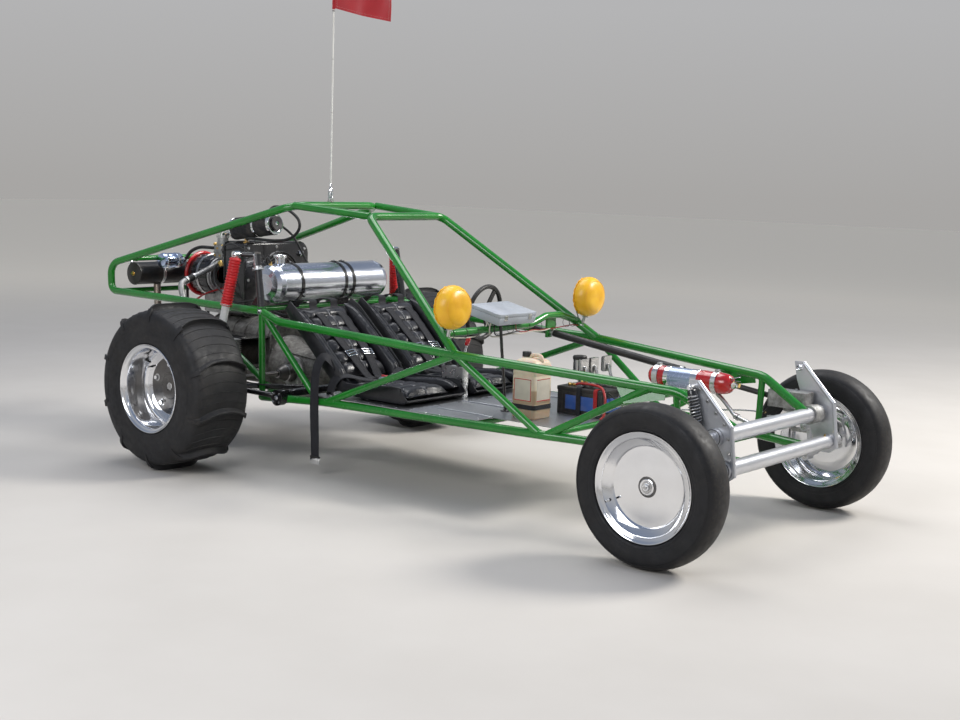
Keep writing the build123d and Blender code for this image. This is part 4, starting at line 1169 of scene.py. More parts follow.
top_back, top_base, top_side = ray_down(back_fill), ray_down(base_fill), ray_down(side_fill)
for name, yc in (("left", 240.0), ("right", -240.0)):
    tub = Shape("seat_tub_" + name, "root", None, "seat_vinyl", ("seat_" + name,), 38)
    rings = []
    for i in range(61):
        t = 2 + (spine_end - 4) * i / 60
        h = side_height(t) * 0.80
        w = 212.0 - 6 * max(0, (60 - t) / 60) - 5 * max(0, (t - 880) / 60)
        sec = [(-w, h), (-w, 14), (-w + 5, 4), (-w + 14, 0), (w - 14, 0), (w - 5, 4), (w, 14), (w, h), (w - 1.5, h + 2), (w - 4.5, h + 2),
               (w - 6, h), (w - 6, 15), (w - 10, 8), (w - 16, 5), (-w + 16, 5), (-w + 10, 8), (-w + 6, 15), (-w + 6, h),
               (-w + 4.5, h + 2), (-w + 1.5, h + 2)]
        rings.append([seat_point(t, 0, b) + Vector((0, yc + a, 0)) for a, b in sec])
    loft(tub, rings, "vinyl_side")
    # rolled edge of the tub and the sewn piping along the bolsters
    for k in (-1, 1):
        pts = [seat_point(2 + (spine_end - 4) * i / 70, 0, side_height(2 + (spine_end - 4) * i / 70) * 0.80 + 2) +
               Vector((0, yc + k * (209.0 - 6 * max(0, (60 - spine_end * i / 70) / 60) - 5 * max(0, (spine_end * i / 70 - 880) / 60)), 0)) for i in range(71)]
        tube(tub, pts, 3.4, "vinyl_side", 8)
    for t, h in ((3, 36), (spine_end - 3, 30)):
        pts = [seat_point(t, 0, 3 + 4 * (abs(a) > 196)) + Vector((0, yc + a, 0)) for a in range(-206, 207, 12)]
        tube(tub, pts, 3.6, "vinyl_side", 8)
    # two mounting feet on the lower cross bar
    for x in (800,):
        for k in (-1, 1):
            bar(tub, (x, yc + k * 150, 376), (44, 30, 17), "steel", r=3)
            bolt(tub, (x, yc + k * 150, 366.5), (0, 0, -1), 7, 5, "steel")
    tub_obj = tub.make()
    parts = [placed("seat_back_" + name, back_fill, yc), placed("seat_base_" + name, base_fill, yc),
             placed("seat_side_outer_" + name, side_fill, yc), placed("seat_side_inner_" + name, side_fill, yc, True)]
    for o in parts:
        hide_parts("seat_" + name)
    seam = Shape("seat_piping_" + name, "root", None, "seat_vinyl", (), 50)
    for top, t0, t1 in ((top_back, 22, 458), (top_base, 506, 892)):
        line = []
        for i in range(66):
            t = t0 + (t1 - t0) * i / 65
            r = top(t, 0.0)
            if r:
                line.append(r[0] + r[1] * 1.2 + Vector((0, yc, 0)))
        # centre welt in the grey piping, whose light colour is a painted sheen highlight
        if len(line) > 4:
            tube(seam, line, 3.1, "piping", 8)
        for k in (-1, 1):
            line = []
            for i in range(56):
                t = t0 + (t1 - t0) * i / 55
                r = top(t, k * 138.0)
                if r:
                    line.append(r[0] + r[1] * 0.6 + Vector((0, yc, 0)))
            if len(line) > 4:
                tube(seam, line, 2.3, "vinyl_side", 6)
    for k in (-1, 1):
        line = []
        for i in range(90):
            t = 20 + 872 * i / 89
            r = top_side(t, 181.0)
            if r:
                p = r[0] + r[1] * 0.3
                line.append(Vector((p.x, yc + k * p.y, p.z)))
        if len(line) > 4:
            tube(seam, line, 2.0, "vinyl_side", 6)
    seam.make()

    # harness: two shoulder straps, two lap straps, slides and a round buckle
    H = Shape("harness_" + name, "root", None, "seat_vinyl", (), 30)
    hub_t, hub_h = 585.0, 66.0
    hub = seat_point(hub_t, 0, hub_h) + Vector((0, yc, 0))
    x, z, nx, nz = on_spine(hub_t)
    hub_n = Vector((nx, 0, nz))
    for k in (-1, 1):
        pts, ups = [], []
        # from the cross bar behind the seat, over its top, down the pad to the buckle
        pts += [Vector((218, yc + k * 62, 757)), Vector((262, yc + k * 66, 788))]
        ups += [Vector((-0.15, 0, 1)), Vector((-0.1, 0, 1))]
        for t, s, lift in ((6, 68, 12), (40, 70, 5), (110, 70, 3), (190, 68, 3), (270, 63, 4), (350, 55, 6), (430, 44, 12), (500, 33, 20), (548, 25, 19)):
            r = top_back(min(max(t, 22), 452), k * s)
            base = (r[0] - seat_point(min(max(t, 22), 452), 0, 0)).dot(r[1]) if r else 56
            if t > 452:
                base = 40
            p = seat_point(t, 0, base + lift) + Vector((0, yc + k * s, 0))
            pts.append(p)
            a, b, c, d = on_spine(t)
            ups.append(Vector((c, 0, d)))
        strip(H, pts, ups, 49, 2.4, "web")
        # three-bar slide on the chest
        q = pts[7]
        n = ups[7].normalized()
        along = (pts[8] - pts[6]).normalized()
        for o in (-15, 0, 15):
            bar(H, q + along * o + n * 3.4, (5, 62, 5), "chrome", along, n, 2.2, 1)
        for o in (-29.5, 29.5):
            bar(H, q + n.cross(along) * o + n * 3.4, (35, 5, 5), "chrome", along, n, 2.2, 1)
        # lap strap, from the frame beside the seat to the buckle
        lp = [Vector((646, yc + k * 228, 392)), Vector((654, yc + k * 227, 432)), Vector((672, yc + k * 220, 462)), Vector((692, yc + k * 202, 478)),
              Vector((714, yc + k * 172, 478)), Vector((738, yc + k * 120, 463)), Vector((758, yc + k * 70, 455)), Vector((768, yc + k * 30, 452))]
        lu = [Vector((0, k, 0)), Vector((0, k, 0.1)), Vector((0.1, k * 0.8, 0.5)), Vector((0.2, k * 0.3, 0.9)), Vector((0.25, k * 0.1, 1)),
              Vector((0.2, k * 0.15, 1)), Vector((0.1, k * 0.1, 1)), Vector((0.05, 0, 1))]
        strip(H, lp, lu, 49, 2.4, "web")
        bar(H, (646, yc + k * 228, 384), (56, 4, 34), "chrome", (1, 0, 0), (0, 0, 1), 1.5, 1)
        bolt(H, (646, yc + k * 230.2, 377), (0, k, 0), 8, 5, "steel")
    lathe(H, [(0, -6), (30, -6), (33, -3), (33, 6), (30, 10), (24, 12), (22, 15), (10, 17), (0, 17)], Vector((772, yc, 452)), (0.05, 0, 1), "chrome", 40)
    bar(H, (772, yc, 471), (34, 9, 5), "red", (1, 0.3, 0), (0.05, 0, 1), 3, 1.5)
    H.make()

# --------------------------------------------------------------------------- flag and whip
def flag_point(u, v):
    """u runs out from the pole, v up."""
    top = Vector((203.5, -48, 2497)) * (1 - u) + Vector((589, -48, 2379)) * u
    low = Vector((203.5, -48, 2204)) * (1 - u) + Vector((571, -48, 2124)) * u
    p = low * (1 - v) + top * v
    a = u ** 0.8
    p.y += a * (13.5 * math.sin(2 * math.pi * (1.35 * u + 0.12 * v) + 0.3) + 4.5 * math.sin(2 * math.pi * (2.9 * u - 0.55 * v) + 1.1)
                + 1.8 * math.sin(2 * math.pi * (0.8 * u + 1.7 * v)))
    p.y = max(-67.5, min(-28.5, p.y))
    p.z -= 6 * math.sin(math.pi * u) * (1 - v) * 0.6
    return p


F = Shape("flag_cloth", "root", None, "flag_cloth", ("flag",), 60)
nu, nv = 66, 48
verts, faces = [], []
grid = [[flag_point(i / nu, j / nv) for j in range(nv + 1)] for i in range(nu + 1)]
for side in (1, -1):
    for i in range(nu + 1):
        for j in range(nv + 1):
            i0, i1 = max(0, i - 1), min(nu, i + 1)
            j0, j1 = max(0, j - 1), min(nv, j + 1)
            n = (grid[i1][j] - grid[i0][j]).cross(grid[i][j1] - grid[i][j0]).normalized()
            # hems are folded over and lie thicker
            hem = 0.42 + 0.38 * (min(i, nu - i) < 3 or min(j, nv - j) < 3)
            verts.append(grid[i][j] + n * (side * hem))
per = (nu + 1) * (nv + 1)
at = lambda k, i, j: k * per + i * (nv + 1) + j
for i in range(nu):
    for j in range(nv):
        faces.append((at(0, i, j), at(0, i + 1, j), at(0, i + 1, j + 1), at(0, i, j + 1)))
        faces.append((at(1, i, j), at(1, i, j + 1), at(1, i + 1, j + 1), at(1, i + 1, j)))
edge = [(i, 0) for i in range(nu)] + [(nu, j) for j in range(nv)] + [(i, nv) for i in range(nu, 0, -1)] + [(0, j) for j in range(nv, 0, -1)]
for a, b in zip(edge, edge[1:] + edge[:1]):
    faces.append((at(0, *a), at(0, *b), at(1, *b), at(1, *a)))
F.add(verts, faces, "flag")
flag_obj = F.make()
G = Shape("flag_ties", "root", None, "whip_fibre", (), 40)
# hem sleeve on the whip, held by two clips, with stitching along the hems
tube(G, [Vector((193, -48, 2200 + 7.5 * i)) for i in range(41)], 7.2, "flag", 14, size=[1 + 0.05 * math.sin(i * 1.9) for i in range(41)])
loftpts = [Vector((199.5, -48, 2202 + 7.4 * i)) for i in range(41)]
sweep(G, loftpts, [(-0.9, -5), (0.9, -5), (0.9, 5), (-0.9, 5)], "flag", (1, 0, 0))
for z in (2192, 2506):
    torus(G, (193, -48, z), (0, 0, 1), 5.6, 1.8, "plastic", 20, 8)
for i0 in (0.035, 0.965):
    for k in range(56):
        v = 0.03 + 0.94 * k / 56
        a, b = flag_point(i0, v), flag_point(i0, v + 0.0095)
        for sgn in (1, -1):
            off = Vector((0, 1.05 * sgn, 0))
            tube(G, [a + off, b + off], 0.35, "thread", 4)
for v0 in (0.04, 0.96):
    for k in range(70):
        u = 0.03 + 0.94 * k / 70
        a, b = flag_point(u, v0), flag_point(u + 0.0075, v0)
        for sgn in (1, -1):
            off = Vector((0, 1.05 * sgn, 0))
            tube(G, [a + off, b + off], 0.35, "thread", 4)
G.make()

B = Shape("whip_base", "root", None, "plain_steel", (), 34)
# spring mount under the whip, clamped to the roof's cross tube
lathe(B, [(0, 0), (15, 0), (16, 1.5), (16, 8), (12, 10), (12, 14), (0, 14)], (193, -48, 1261), (0, 0, 1), "steel", 32)
pts = [Vector((193 + 12.6 * math.cos(a), -48 + 12.6 * math.sin(a), 1274 + 5.2 * a / (2 * math.pi)))
       for a in [2 * math.pi * k / 20 for k in range(20 * 7)]]
tube(B, pts, 1.9, "chrome", 7)
lathe(B, [(11.5, 0), (13.5, 1), (13.5, 8), (9, 12), (7, 22), (5.6, 24), (5.6, 40), (4.7, 42)], (193, -48, 1310), (0, 0, 1), "chrome", 28)
for k in range(3):
    torus(B, (193, -48, 1700 + 260 * k), (0, 0, 1), 4.6, 0.7, "plastic", 14, 6)
lathe(B, [(5.2, -14), (6.2, -12), (6.2, -3), (4, 0), (0, 0)], (193, -48, 2519), (0, 0, 1), "plastic", 16)
B.make()

# --------------------------------------------------------------------------- headlights
def lamp(name, y):
    s = 1 if y > 0 else -1
    L = Shape("headlight_look_" + name, "root", None, "chrome_parts", ("headlights",), 34)
    o, ax = (1398, y, 857), (1, 0, 0)
    lathe(L, [(0, -62), (14, -61.6), (34, -57), (56, -47), (74, -33), (84.5, -19), (87.5, -10), (88, 0), (86, 8), (0, 8)],
          o, ax, "black_gloss", 64)
    torus(L, (1398 - 14, y, 857), ax, 88.2, 2.0, "chrome", 64, 8)
    # soft stretched cover: gathered at its rim, slightly dished over the lens
    verts, faces, n = [], [], 84
    prof = [(0, 53), (16, 54.2), (32, 54.8), (48, 53.8), (62, 50.2), (74, 44.2), (83.5, 35.5), (90.5, 24), (94.6, 11), (95.7, 0),
            (94.6, -8), (91.5, -14.5), (88.5, -18), (86.5, -20.5), (87.3, -23), (89.6, -25.2)]
    for i, (r, t) in enumerate(prof):
        for j in range(n):
            a = 2 * math.pi * j / n
            w = max(0.0, (i - 6) / 9.0)
            pull = 1.6 * w * math.sin(21 * a + 0.7) + 0.9 * w * math.sin(34 * a + 2.1)
            big = 1.1 * math.sin(3 * a + 0.4) * math.sin(math.pi * min(1, r / 96)) + 0.7 * math.sin(5 * a + 1.9)
            rr = min(95.9, max(0.0, r - 0.8 + pull * 0.8 + (0.25 * big if r > 40 else 0)))
            tt = t + (0.8 * big if 16 < r < 90 else 0) + 0.9 * w * math.sin(13 * a)
            verts.append(Vector((o[0] + min(tt, 55.8), y + rr * math.cos(a), 857 + rr * math.sin(a))))
    m = len(prof)
    for i in range(1, m):
        for j in range(n):
            j2 = (j + 1) % n
            faces.append(((i - 1) * n + j, (i - 1) * n + j2, i * n + j2, i * n + j))
    # inside layer keeps the rim closed
    back = [(83, -21), (86, -14), (90.5, -8), (92.2, 0)]
    base = len(verts)
    for r, t in back:
        for j in range(n):
            a = 2 * math.pi * j / n
            verts.append(Vector((o[0] + t, y + r * math.cos(a), 857 + r * math.sin(a))))
    for j in range(n):
        j2 = (j + 1) % n
        faces.append(((m - 1) * n + j, (m - 1) * n + j2, base + j2, base + j))
        for k in range(len(back) - 1):
            faces.append((base + k * n + j, base + k * n + j2, base + (k + 1) * n + j2, base + (k + 1) * n + j))
    L.add(verts, faces, "yellow")
    lathe(L, [(0, 53.0), (16.2, 54.1)], o, ax, "yellow", n)
    # elastic hem and the sewn seam round the face
    ring = [Vector((o[0] - 23.5 + 0.8 * math.sin(13 * a), y + (88 + 1.4 * math.sin(21 * a + 0.7)) * math.cos(a),
                    857 + (88 + 1.4 * math.sin(21 * a + 0.7)) * math.sin(a))) for a in [2 * math.pi * k / 168 for k in range(168)]]
    tube(L, ring, 2.6, "yellow", 8, closed=True)
    ring = [Vector((o[0] + 41.5, y + 77.6 * math.cos(a), 857 + 77.6 * math.sin(a))) for a in [2 * math.pi * k / 120 for k in range(120)]]
    tube(L, ring, 1.15, "yellow", 6, closed=True)
    # stud, swivel and bracket down to the pillar's foot
    tube(L, curve([(1386, y, 770), (1387, y, 792), (1383, y * 0.998, 760), (1372, 492 * s, 722)], 1), 0.01, "steel", 4)
    tube(L, arc3([(1389, y, 800), (1388, y, 780), (1382, 495.5 * s, 752), (1373, 492.5 * s, 724)], 6), 8.6, "steel", 16)
    lathe(L, [(0, 0), (12, 0), (14, 1.5), (14, 9), (10, 12), (10, 20), (0, 20)], (1389, y, 762), (0.03, 0, 1), "steel", 24)
    bolt(L, (1387, y, 784), (0, 0, 1), 11, 8, "steel")
    bar(L, (1386, y, 770), (34, 5, 26), "steel", r=2)
    bolt(L, (1386, y - 2.5, 772), (0, -1, 0), 7, 5, "steel")
    bolt(L, (1386, y + 2.5, 772), (0, 1, 0), 7, 5, "steel")
    lathe(L, [(0, 0), (16, 0), (17, 2), (16, 5), (0, 5)], (1371.6, 492 * s, 719), (0.17, 0.02 * s, 0.98), "steel", 24)
    # lead from the lamp's back down the stalk to the pillar
    tube(L, arc3([(1340, y, 850), (1328, y, 838), (1330, y - 4 * s, 800), (1348, y - 9 * s, 762), (1362, 480 * s, 735), (1360, 478 * s, 712)], 8),
         2.6, "wire_black", 8)
    lathe(L, [(7, 0), (7, 5), (4.5, 9), (2.6, 14), (0, 14)], (1340, y, 850), (-0.6, 0, -0.7), "hose", 16)
    return L.make()


lamp("left", 497.0)
lamp("right", -497.0)

# --------------------------------------------------------------------------- instrument box on its post
bx, bz = Vector((0.978, 0, -0.208)), Vector((0.208, 0, 0.978))
bo = Vector((1335, -78, 780))


def on_box(a, b, c):
    return bo + bx * a + Vector((0, b, 0)) + bz * c


I = Shape("instrument_look", "root", None, "box_grey", ("instrument_box",), 34)
prism(I, rounded(176, 266, 7), on_box(0, 0, 0), bz, bx, 34, "box_grey", 1.2, 2.0)
prism(I, rounded(173, 263, 6), on_box(0, 0, 33.6), bz, bx, 2.0, "wire_black", 0.2)
prism(I, rounded(176, 266, 7), on_box(0, 0, 35.2), bz, bx, 14.8, "box_grey", 2.0, 0.8)
for a in (-78, 78):
    for b in (-122, 122):
        lathe(I, [(0, -0.4), (3.8, -0.4), (3.8, 0.0), (0, 0.0)], on_box(a, b, 49.7), bz, "steel", 16)
for b in (-86, 86):
    bar(I, on_box(89.0, b, 32), (1.6, 22, 26), "steel", bx, bz, 0.7, 0.5)
# two hinge knuckles on the driver's side, gauges and switches on the face towards the seats
face = -bx
for b, r in ((-88, 19), (-38, 19), (8, 15)):
    c = on_box(-88, b, 18)
    c = on_box(-88, b, 18 if r > 16 else 17) + bz * 0
    lathe(I, [(0, 0), (r - 2.5, 0), (r - 2.5, 1.8), (r - 1, 2.6), (r, 1.6), (r, -2)], c, face, "chrome", 40)
    lathe(I, [(0, 0.6), (r - 2.5, 0.6)], c, face, "dial", 40)
    for k in range(11):
        a = math.radians(-130 + 26 * k)
        d = Vector((0, 1, 0)) * math.sin(a) + bz * math.cos(a)
        bar(I, c + face * 0.9 + d * (r - 5.4), (0.9, 0.5, 3.2), "thread", Vector((0, 1, 0)).cross(d), d, 0.2, 0.1)
    needle = Vector((0, 0.55, 0)) + bz * 0.83
    bar(I, c + face * 1.4 + needle * (r * 0.22), (1.3, 0.6, r * 0.8), "red", Vector((0, 1, 0)).cross(needle), needle, 0.2, 0.1)
    lathe(I, [(0, 0.8), (2.4, 0.8), (2.2, 2.2), (0, 2.4)], c, face, "wire_black", 14)
for b in (48, 70, 92, 114):
    c = on_box(-88, b, 17)
    lathe(I, [(0, 0), (6.4, 0), (6.4, 1.6), (4.6, 2.2), (4.6, 4), (0, 4)], c, face, "steel", 6)
    tube(I, [c + face * 3, c + face * 9 + bz * 4, c + face * 14 + bz * 8], 1.9, "chrome", 10, size=[1, 0.9, 1.25])
# post to the floor and its foot
tube(I, [(1400, -170, 775), (1418, -165, 578), (1436, -160, 383)], 7, "black_gloss", 16)
lathe(I, [(0, 0), (21, 0), (22, 1), (22, 4), (9, 6), (8, 12), (0, 12)], (1436, -160, 380), (0, 0, 1), "black_gloss", 32)
for a in range(3):
    t = math.radians(30 + 120 * a)
    bolt(I, (1436 + 16 * math.cos(t), -160 + 16 * math.sin(t), 384), (0, 0, 1), 3.6, 3, "steel", False)
bar(I, on_box(0, -60, -3), (70, 40, 6), "steel", bx, bz, 3)
# arms from the box down to the dash tube
for b in (-100, 90):
    tube(I, arc3([tuple(on_box(-10, b, 2)), tuple(on_box(-6, b, -12)), (1342, -78 + b, 762), (1345, -78 + b, 750)], 5), 5.4, "steel", 12)
I.make()

K = Shape("dash_wires", "root", None, "box_grey", (), 40)
# leads that leave the box and are tied along the dash tube
tube(K, arc3([tuple(on_box(20, -120, 1)), (1352, -206, 762), (1351, -225, 735), (1347, -262, 716), (1347, -330, 712), (1348, -400, 716),
              (1352, -455, 722), (1362, -482, 718)], 8), 3.0, "wire", 8)
tube(K, arc3([tuple(on_box(30, -110, 1)), (1362, -196, 756), (1365, -200, 728), (1360, -180, 708), (1358, -120, 704), (1356, -40, 710),
              (1354, 40, 706), (1352, 120, 712), (1352, 200, 708), (1352, 262, 714)], 8), 3.0, "wire", 8)
tube(K, arc3([tuple(on_box(24, 60, 1)), (1360, -10, 752), (1360, 0, 724), (1354, 60, 713), (1352, 130, 717), (1350, 210, 713), (1350, 330, 716),
              (1354, 430, 722), (1362, 482, 716)], 8), 2.4, "wire_red", 8)
tube(K, arc3([tuple(on_box(34, -90, 1)), (1368, -170, 750), (1374, -176, 724), (1372, -150, 712), (1366, -60, 716), (1360, 20, 720)], 8), 2.4, "wire_black", 8)
for y in (-440, -350, -275, -120, -30, 90, 180, 290, 400, 450):
    torus(K, (1346, y, 734), (0, 1, 0), 20.6, 1.3, "wire_black", 28, 6)
K.make()

# --------------------------------------------------------------------------- nose and cockpit pieces
def hose(S, points, r, mat, per=8, n=14):
    tube(S, curve(points, per), r, mat, n)


def clamp(S, p, axis, r, mat="steel"):
    """Screw clamp round a hose."""
    lathe(S, [(r, -5.5), (r + 1.1, -5), (r + 1.1, 5), (r, 5.5)], p, axis, mat, 28)
    u, v, w = basis(axis)
    q = Vector(p) + u * (r + 3)
    bar(S, q, (6, 12, 9), mat, u, w, 2, 0.8)
    lathe(S, [(2.8, 6), (2.8, 9), (0, 9)], q, v, mat, 6)


A = Shape("battery_look", "root", None, "black_plastic", ("battery",), 34)
brick(A, 1602, 1848, -3, 163, 380, 484, "plastic", 7, 2)
brick(A, 1600, 1850, -5, 165, 483, 502, "plastic", 7, 3)
for k in range(13):
    x = 1618 + 17.8 * k
    for y in (-3.4, 163.4):
        bar(A, (x, y, 432), (5, 2.4, 84), "plastic", r=1.1, edge=0.6)
for y0, y1 in ((18, 42), (118, 142)):
    brick(A, 1700, 1835, y0, y1, 501, 508, "plastic", 6, 1.5)
    for k in range(3):
        x = 1722 + 45 * k
        lathe(A, [(0, 0), (9, 0), (9, 2.4), (7.5, 3.4), (0, 3.4)], (x, (y0 + y1) / 2, 507.5), (0, 0, 1), "plastic", 20)
        bar(A, (x, (y0 + y1) / 2, 511.4), (13, 2, 1.6), "plastic", r=0.9, edge=0.4)
bar(A, (1725, -4.9, 436), (150, 1.2, 62), "blue_label", r=0.55, edge=0.3)
bar(A, (1850.6, 80, 436), (1.2, 110, 62), "blue_label", r=0.55, edge=0.3)
for y, mat, cover in ((35, "wire_red", "wire_red"), (130, "wire_black", "wire_black")):
    lathe(A, [(9.5, 0), (8.6, 16), (7.6, 17), (0, 17)], (1650, y, 501), (0, 0, 1), "steel", 24)
    lathe(A, [(9, 0), (14, 0), (14.6, 2), (14.6, 10), (13, 11.5), (9, 11.5)], (1650, y, 504), (0, 0, 1), "brass", 24)
    bar(A, (1668, y, 510), (20, 13, 9), "brass", r=2)
    bolt(A, (1668, y, 514), (0, 0, 1), 5.2, 4, "steel", False)
hose(A, [(1676, 35, 510), (1700, 34, 517), (1760, 28, 520), (1830, 8, 516), (1866, -14, 486), (1880, -30, 440), (1884, -44, 404), (1878, -60, 388)], 5.2, "wire_red")
hose(A, [(1676, 130, 510), (1696, 132, 516), (1720, 150, 512), (1740, 178, 488), (1750, 190, 440), (1752, 196, 398), (1752, 197, 381)], 5.2, "wire_black")
# hold-down strap with its buckle, and a rope handle
strip(A, [(1722, -8.5, 382), (1722, -8.5, 430), (1722, -8.5, 490), (1722, -4, 505), (1722, 16, 510.5), (1722, 80, 512), (1722, 144, 510.5), (1722, 164, 505),
          (1722, 168.5, 490), (1722, 168.5, 430), (1722, 168.5, 382)],
      [(0, -1, 0), (0, -1, 0), (0, -1, 0.1), (0, -0.7, 0.7), (0, -0.1, 1), (0, 0, 1), (0, 0.1, 1), (0, 0.7, 0.7), (0, 1, 0.1), (0, 1, 0), (0, 1, 0)], 25, 2, "web")
for o in (-13, 0, 13):
    bar(A, (1722, 80 + o, 514.5), (34, 3.6, 3), "chrome", r=1.4, edge=0.6)
for o in (-15.5, 15.5):
    bar(A, (1722 + o, 80, 514.5), (3.6, 30, 3), "chrome", r=1.4, edge=0.6)
for x in (1600.5, 1849.5):
    hose(A, [(x, 38, 492), (x + (6 if x > 1700 else -6), 42, 486), (x + (12 if x > 1700 else -12), 60, 470), (x + (14 if x > 1700 else -14), 80, 466),
             (x + (12 if x > 1700 else -12), 100, 470), (x + (6 if x > 1700 else -6), 118, 486), (x, 122, 492)], 3.0, "wire_black")
# red tie strap at the outer end
strip(A, [(1812, -7, 400), (1812, -8, 470), (1812, -7, 500), (1812, 4, 506), (1812, 20, 505)], [(0, -1, 0), (0, -1, 0), (0, -0.8, 0.5), (0, -0.1, 1), (0, 0, 1)],
      20, 1.8, "red_web")
A.make()

C = Shape("fluid_can_look", "root", None, "can_beige", ("fluid_can",), 34)
rows, rings = [(380, 7, 0), (381.5, 3, 0), (386, 0.4, 0), (420, 0, 0), (440, 0, 0), (443, 1.6, 0), (449, 1.6, 0), (452, 0, 0), (560, 0, 0), (563, 1.6, 0),
               (569, 1.6, 0), (572, 0, 0), (606, 0.4, 0), (618, 3, 0), (628, 9, 0), (635, 18, 0), (639, 30, 0), (640, 44, 0)], []
for z, d, _ in rows:
    rings.append([Vector((1602.5 + a, -190 + b, z)) for a, b in rounded(125 - 2 * d, 130 - 2 * d, max(3, 17 - d * 0.3), 5)])
loft(C, rings, "can")
# handle, spout and ridged lid
hose(C, [(1655, -190, 626), (1650, -190, 645), (1636, -190, 652), (1612, -190, 652), (1598, -190, 647), (1592, -190, 634)], 8.5, "can", 8, 14)
lathe(C, [(20, -6), (20, 0), (16, 2), (16, 10)], (1570, -190, 638), (0, 0, 1), "can", 36)
prof = [(0, 12), (0, 12.0)]
verts, faces, n = [], [], 96
for i, (r, t) in enumerate([(19.2, 5), (19.6, 6), (19.6, 22), (18, 25), (6, 25.8)]):
    for j in range(n):
        a = 2 * math.pi * j / n
        rr = r - (0.9 if (j % 4) < 2 and i in (1, 2) else 0)
        verts.append(Vector((1570 + rr * math.cos(a), -190 + rr * math.sin(a), 638 + t)))
for i in range(4):
    for j in range(n):
        j2 = (j + 1) % n
        faces.append((i * n + j, i * n + j2, (i + 1) * n + j2, (i + 1) * n + j))
faces.append(tuple(range(4 * n, 5 * n)))
C.add(verts, faces, "plastic")
# bare label with a red edge, and the strap that holds the can
for x in (1602.5,):
    bar(C, (x, -255.4, 506), (92, 1.2, 96), "label", r=0.55, edge=0.3)
    for dz in (-46, 46):
        bar(C, (x, -256.1, 506 + dz), (92, 0.6, 3.2), "red", r=0.25, edge=0.1)
    for dx in (-44.5, 44.5):
        bar(C, (x + dx, -256.1, 506), (3.2, 0.6, 95), "red", r=0.25, edge=0.1)
bar(C, (1665.4, -190, 506), (1.2, 92, 96), "label", r=0.55, edge=0.3)
for dz in (-46, 46):
    bar(C, (1666.1, -190, 506 + dz), (0.6, 92, 3.2), "red", r=0.25, edge=0.1)
band = [Vector((1602.5 + a, -190 + b, 432)) for a, b in rounded(128.4, 133.4, 18.5, 5)]
sweep(C, band, [(-1.0, -10), (1.0, -10), (1.0, 10), (-1.0, 10)], "web", (0, 0, 1), True, True)
for y in (-262, -118):
    bar(C, (1602, y, 386), (60, 14, 12), "steel", r=3)
C.make()

E = Shape("extinguisher_look", "root", None, "cylinder_red", ("fire_extinguisher",), 34)
ec, ea = (2325, -70, 618), (1, 0, 0)
lathe(E, [(0, -196), (18, -195), (30, -189), (38, -177), (42, -162), (43, -146), (43, -112)], ec, ea, "red", 72)
lathe(E, [(43, -112), (44, -111), (44, -92), (43, -91)], ec, ea, "chrome", 72)
lathe(E, [(43, -91), (43, 14)], ec, ea, "blue_silver", 72)
lathe(E, [(43, 14), (44, 15), (44, 42), (43, 43)], ec, ea, "chrome", 72)
lathe(E, [(43, 43), (43, 148), (41, 164), (35, 180), (24, 189), (16, 191), (16, 196), (0, 196)], ec, ea, "red", 72)
for t in (60, 66, 72, 128, 134):
    torus(E, (2325 + t, -70, 618), ea, 43.0, 0.9, "red", 72, 6)
lathe(E, [(0, -2), (15, -2), (17, 0), (17, 8), (12, 10), (11, 26), (9.5, 28), (0, 28)], (2518, -70, 618), ea, "brass", 6)
lathe(E, [(11, 0), (12.5, 1), (12.5, 6), (9, 8), (0, 8)], (2526, -70, 618), (0, 0, 1), "brass", 24)
lathe(E, [(0, 0), (12, 0), (13.5, 1.5), (13.5, 8), (12, 9), (0, 8.4)], (2532, -84, 618), (0, -1, 0), "chrome", 32)
lathe(E, [(0, 8.6), (11.5, 8.8)], (2532, -84, 618), (0, -1, 0), "label", 28)
bar(E, (2522, -70, 646), (52, 13, 3.4), "chrome", (1, 0, 0.25), (-0.25, 0, 1), 3, 1)
bar(E, (2524, -70, 633), (50, 13, 3.4), "black_gloss", (1, 0, 0.05), (-0.05, 0, 1), 3, 1)
torus(E, (2508, -78, 640), (0, 1, 0.2), 8, 1.2, "steel", 24, 8)
# clamps round the bottle and their feet on the cross tube and the beam
for t, wide in ((-153, 26), (120, 22)):
    lathe(E, [(42.6, -wide / 2), (45.6, -wide / 2), (46.4, -wide / 2 + 1), (46.4, wide / 2 - 1), (45.6, wide / 2), (42.6, wide / 2)],
          (2325 + t, -70, 618), ea, "steel", 72)
    bar(E, (2325 + t, -70, 667), (wide * 0.8, 16, 9), "steel", r=3)
    lathe(E, [(4.4, -12), (4.4, 12), (3, 13), (0, 13)], (2325 + t, -70, 668), (0, 1, 0), "steel", 6)
tube(E, [(2172, -70, 576), (2172, -70, 543)], 9, "steel", 20)
lathe(E, [(14.2, -16), (19, -15), (19.6, -13), (19.6, 13), (19, 15), (14.2, 16)], (2172, -70, 530), (0, 1, 0), "steel", 40)
bolt(E, (2190, -70, 530), (1, 0, 0), 7, 5, "steel")
tube(E, [(2445, -70, 576), (2476, -82, 560), (2505, -98, 545), (2560, -120, 505), (2640, -150, 490)], 8.6, "steel", 16)
lathe(E, [(10, 0), (13, 1), (13, 18), (10, 19)], (2563, -121, 504), (0.93, -0.34, -0.15), "steel", 24)
E.make()

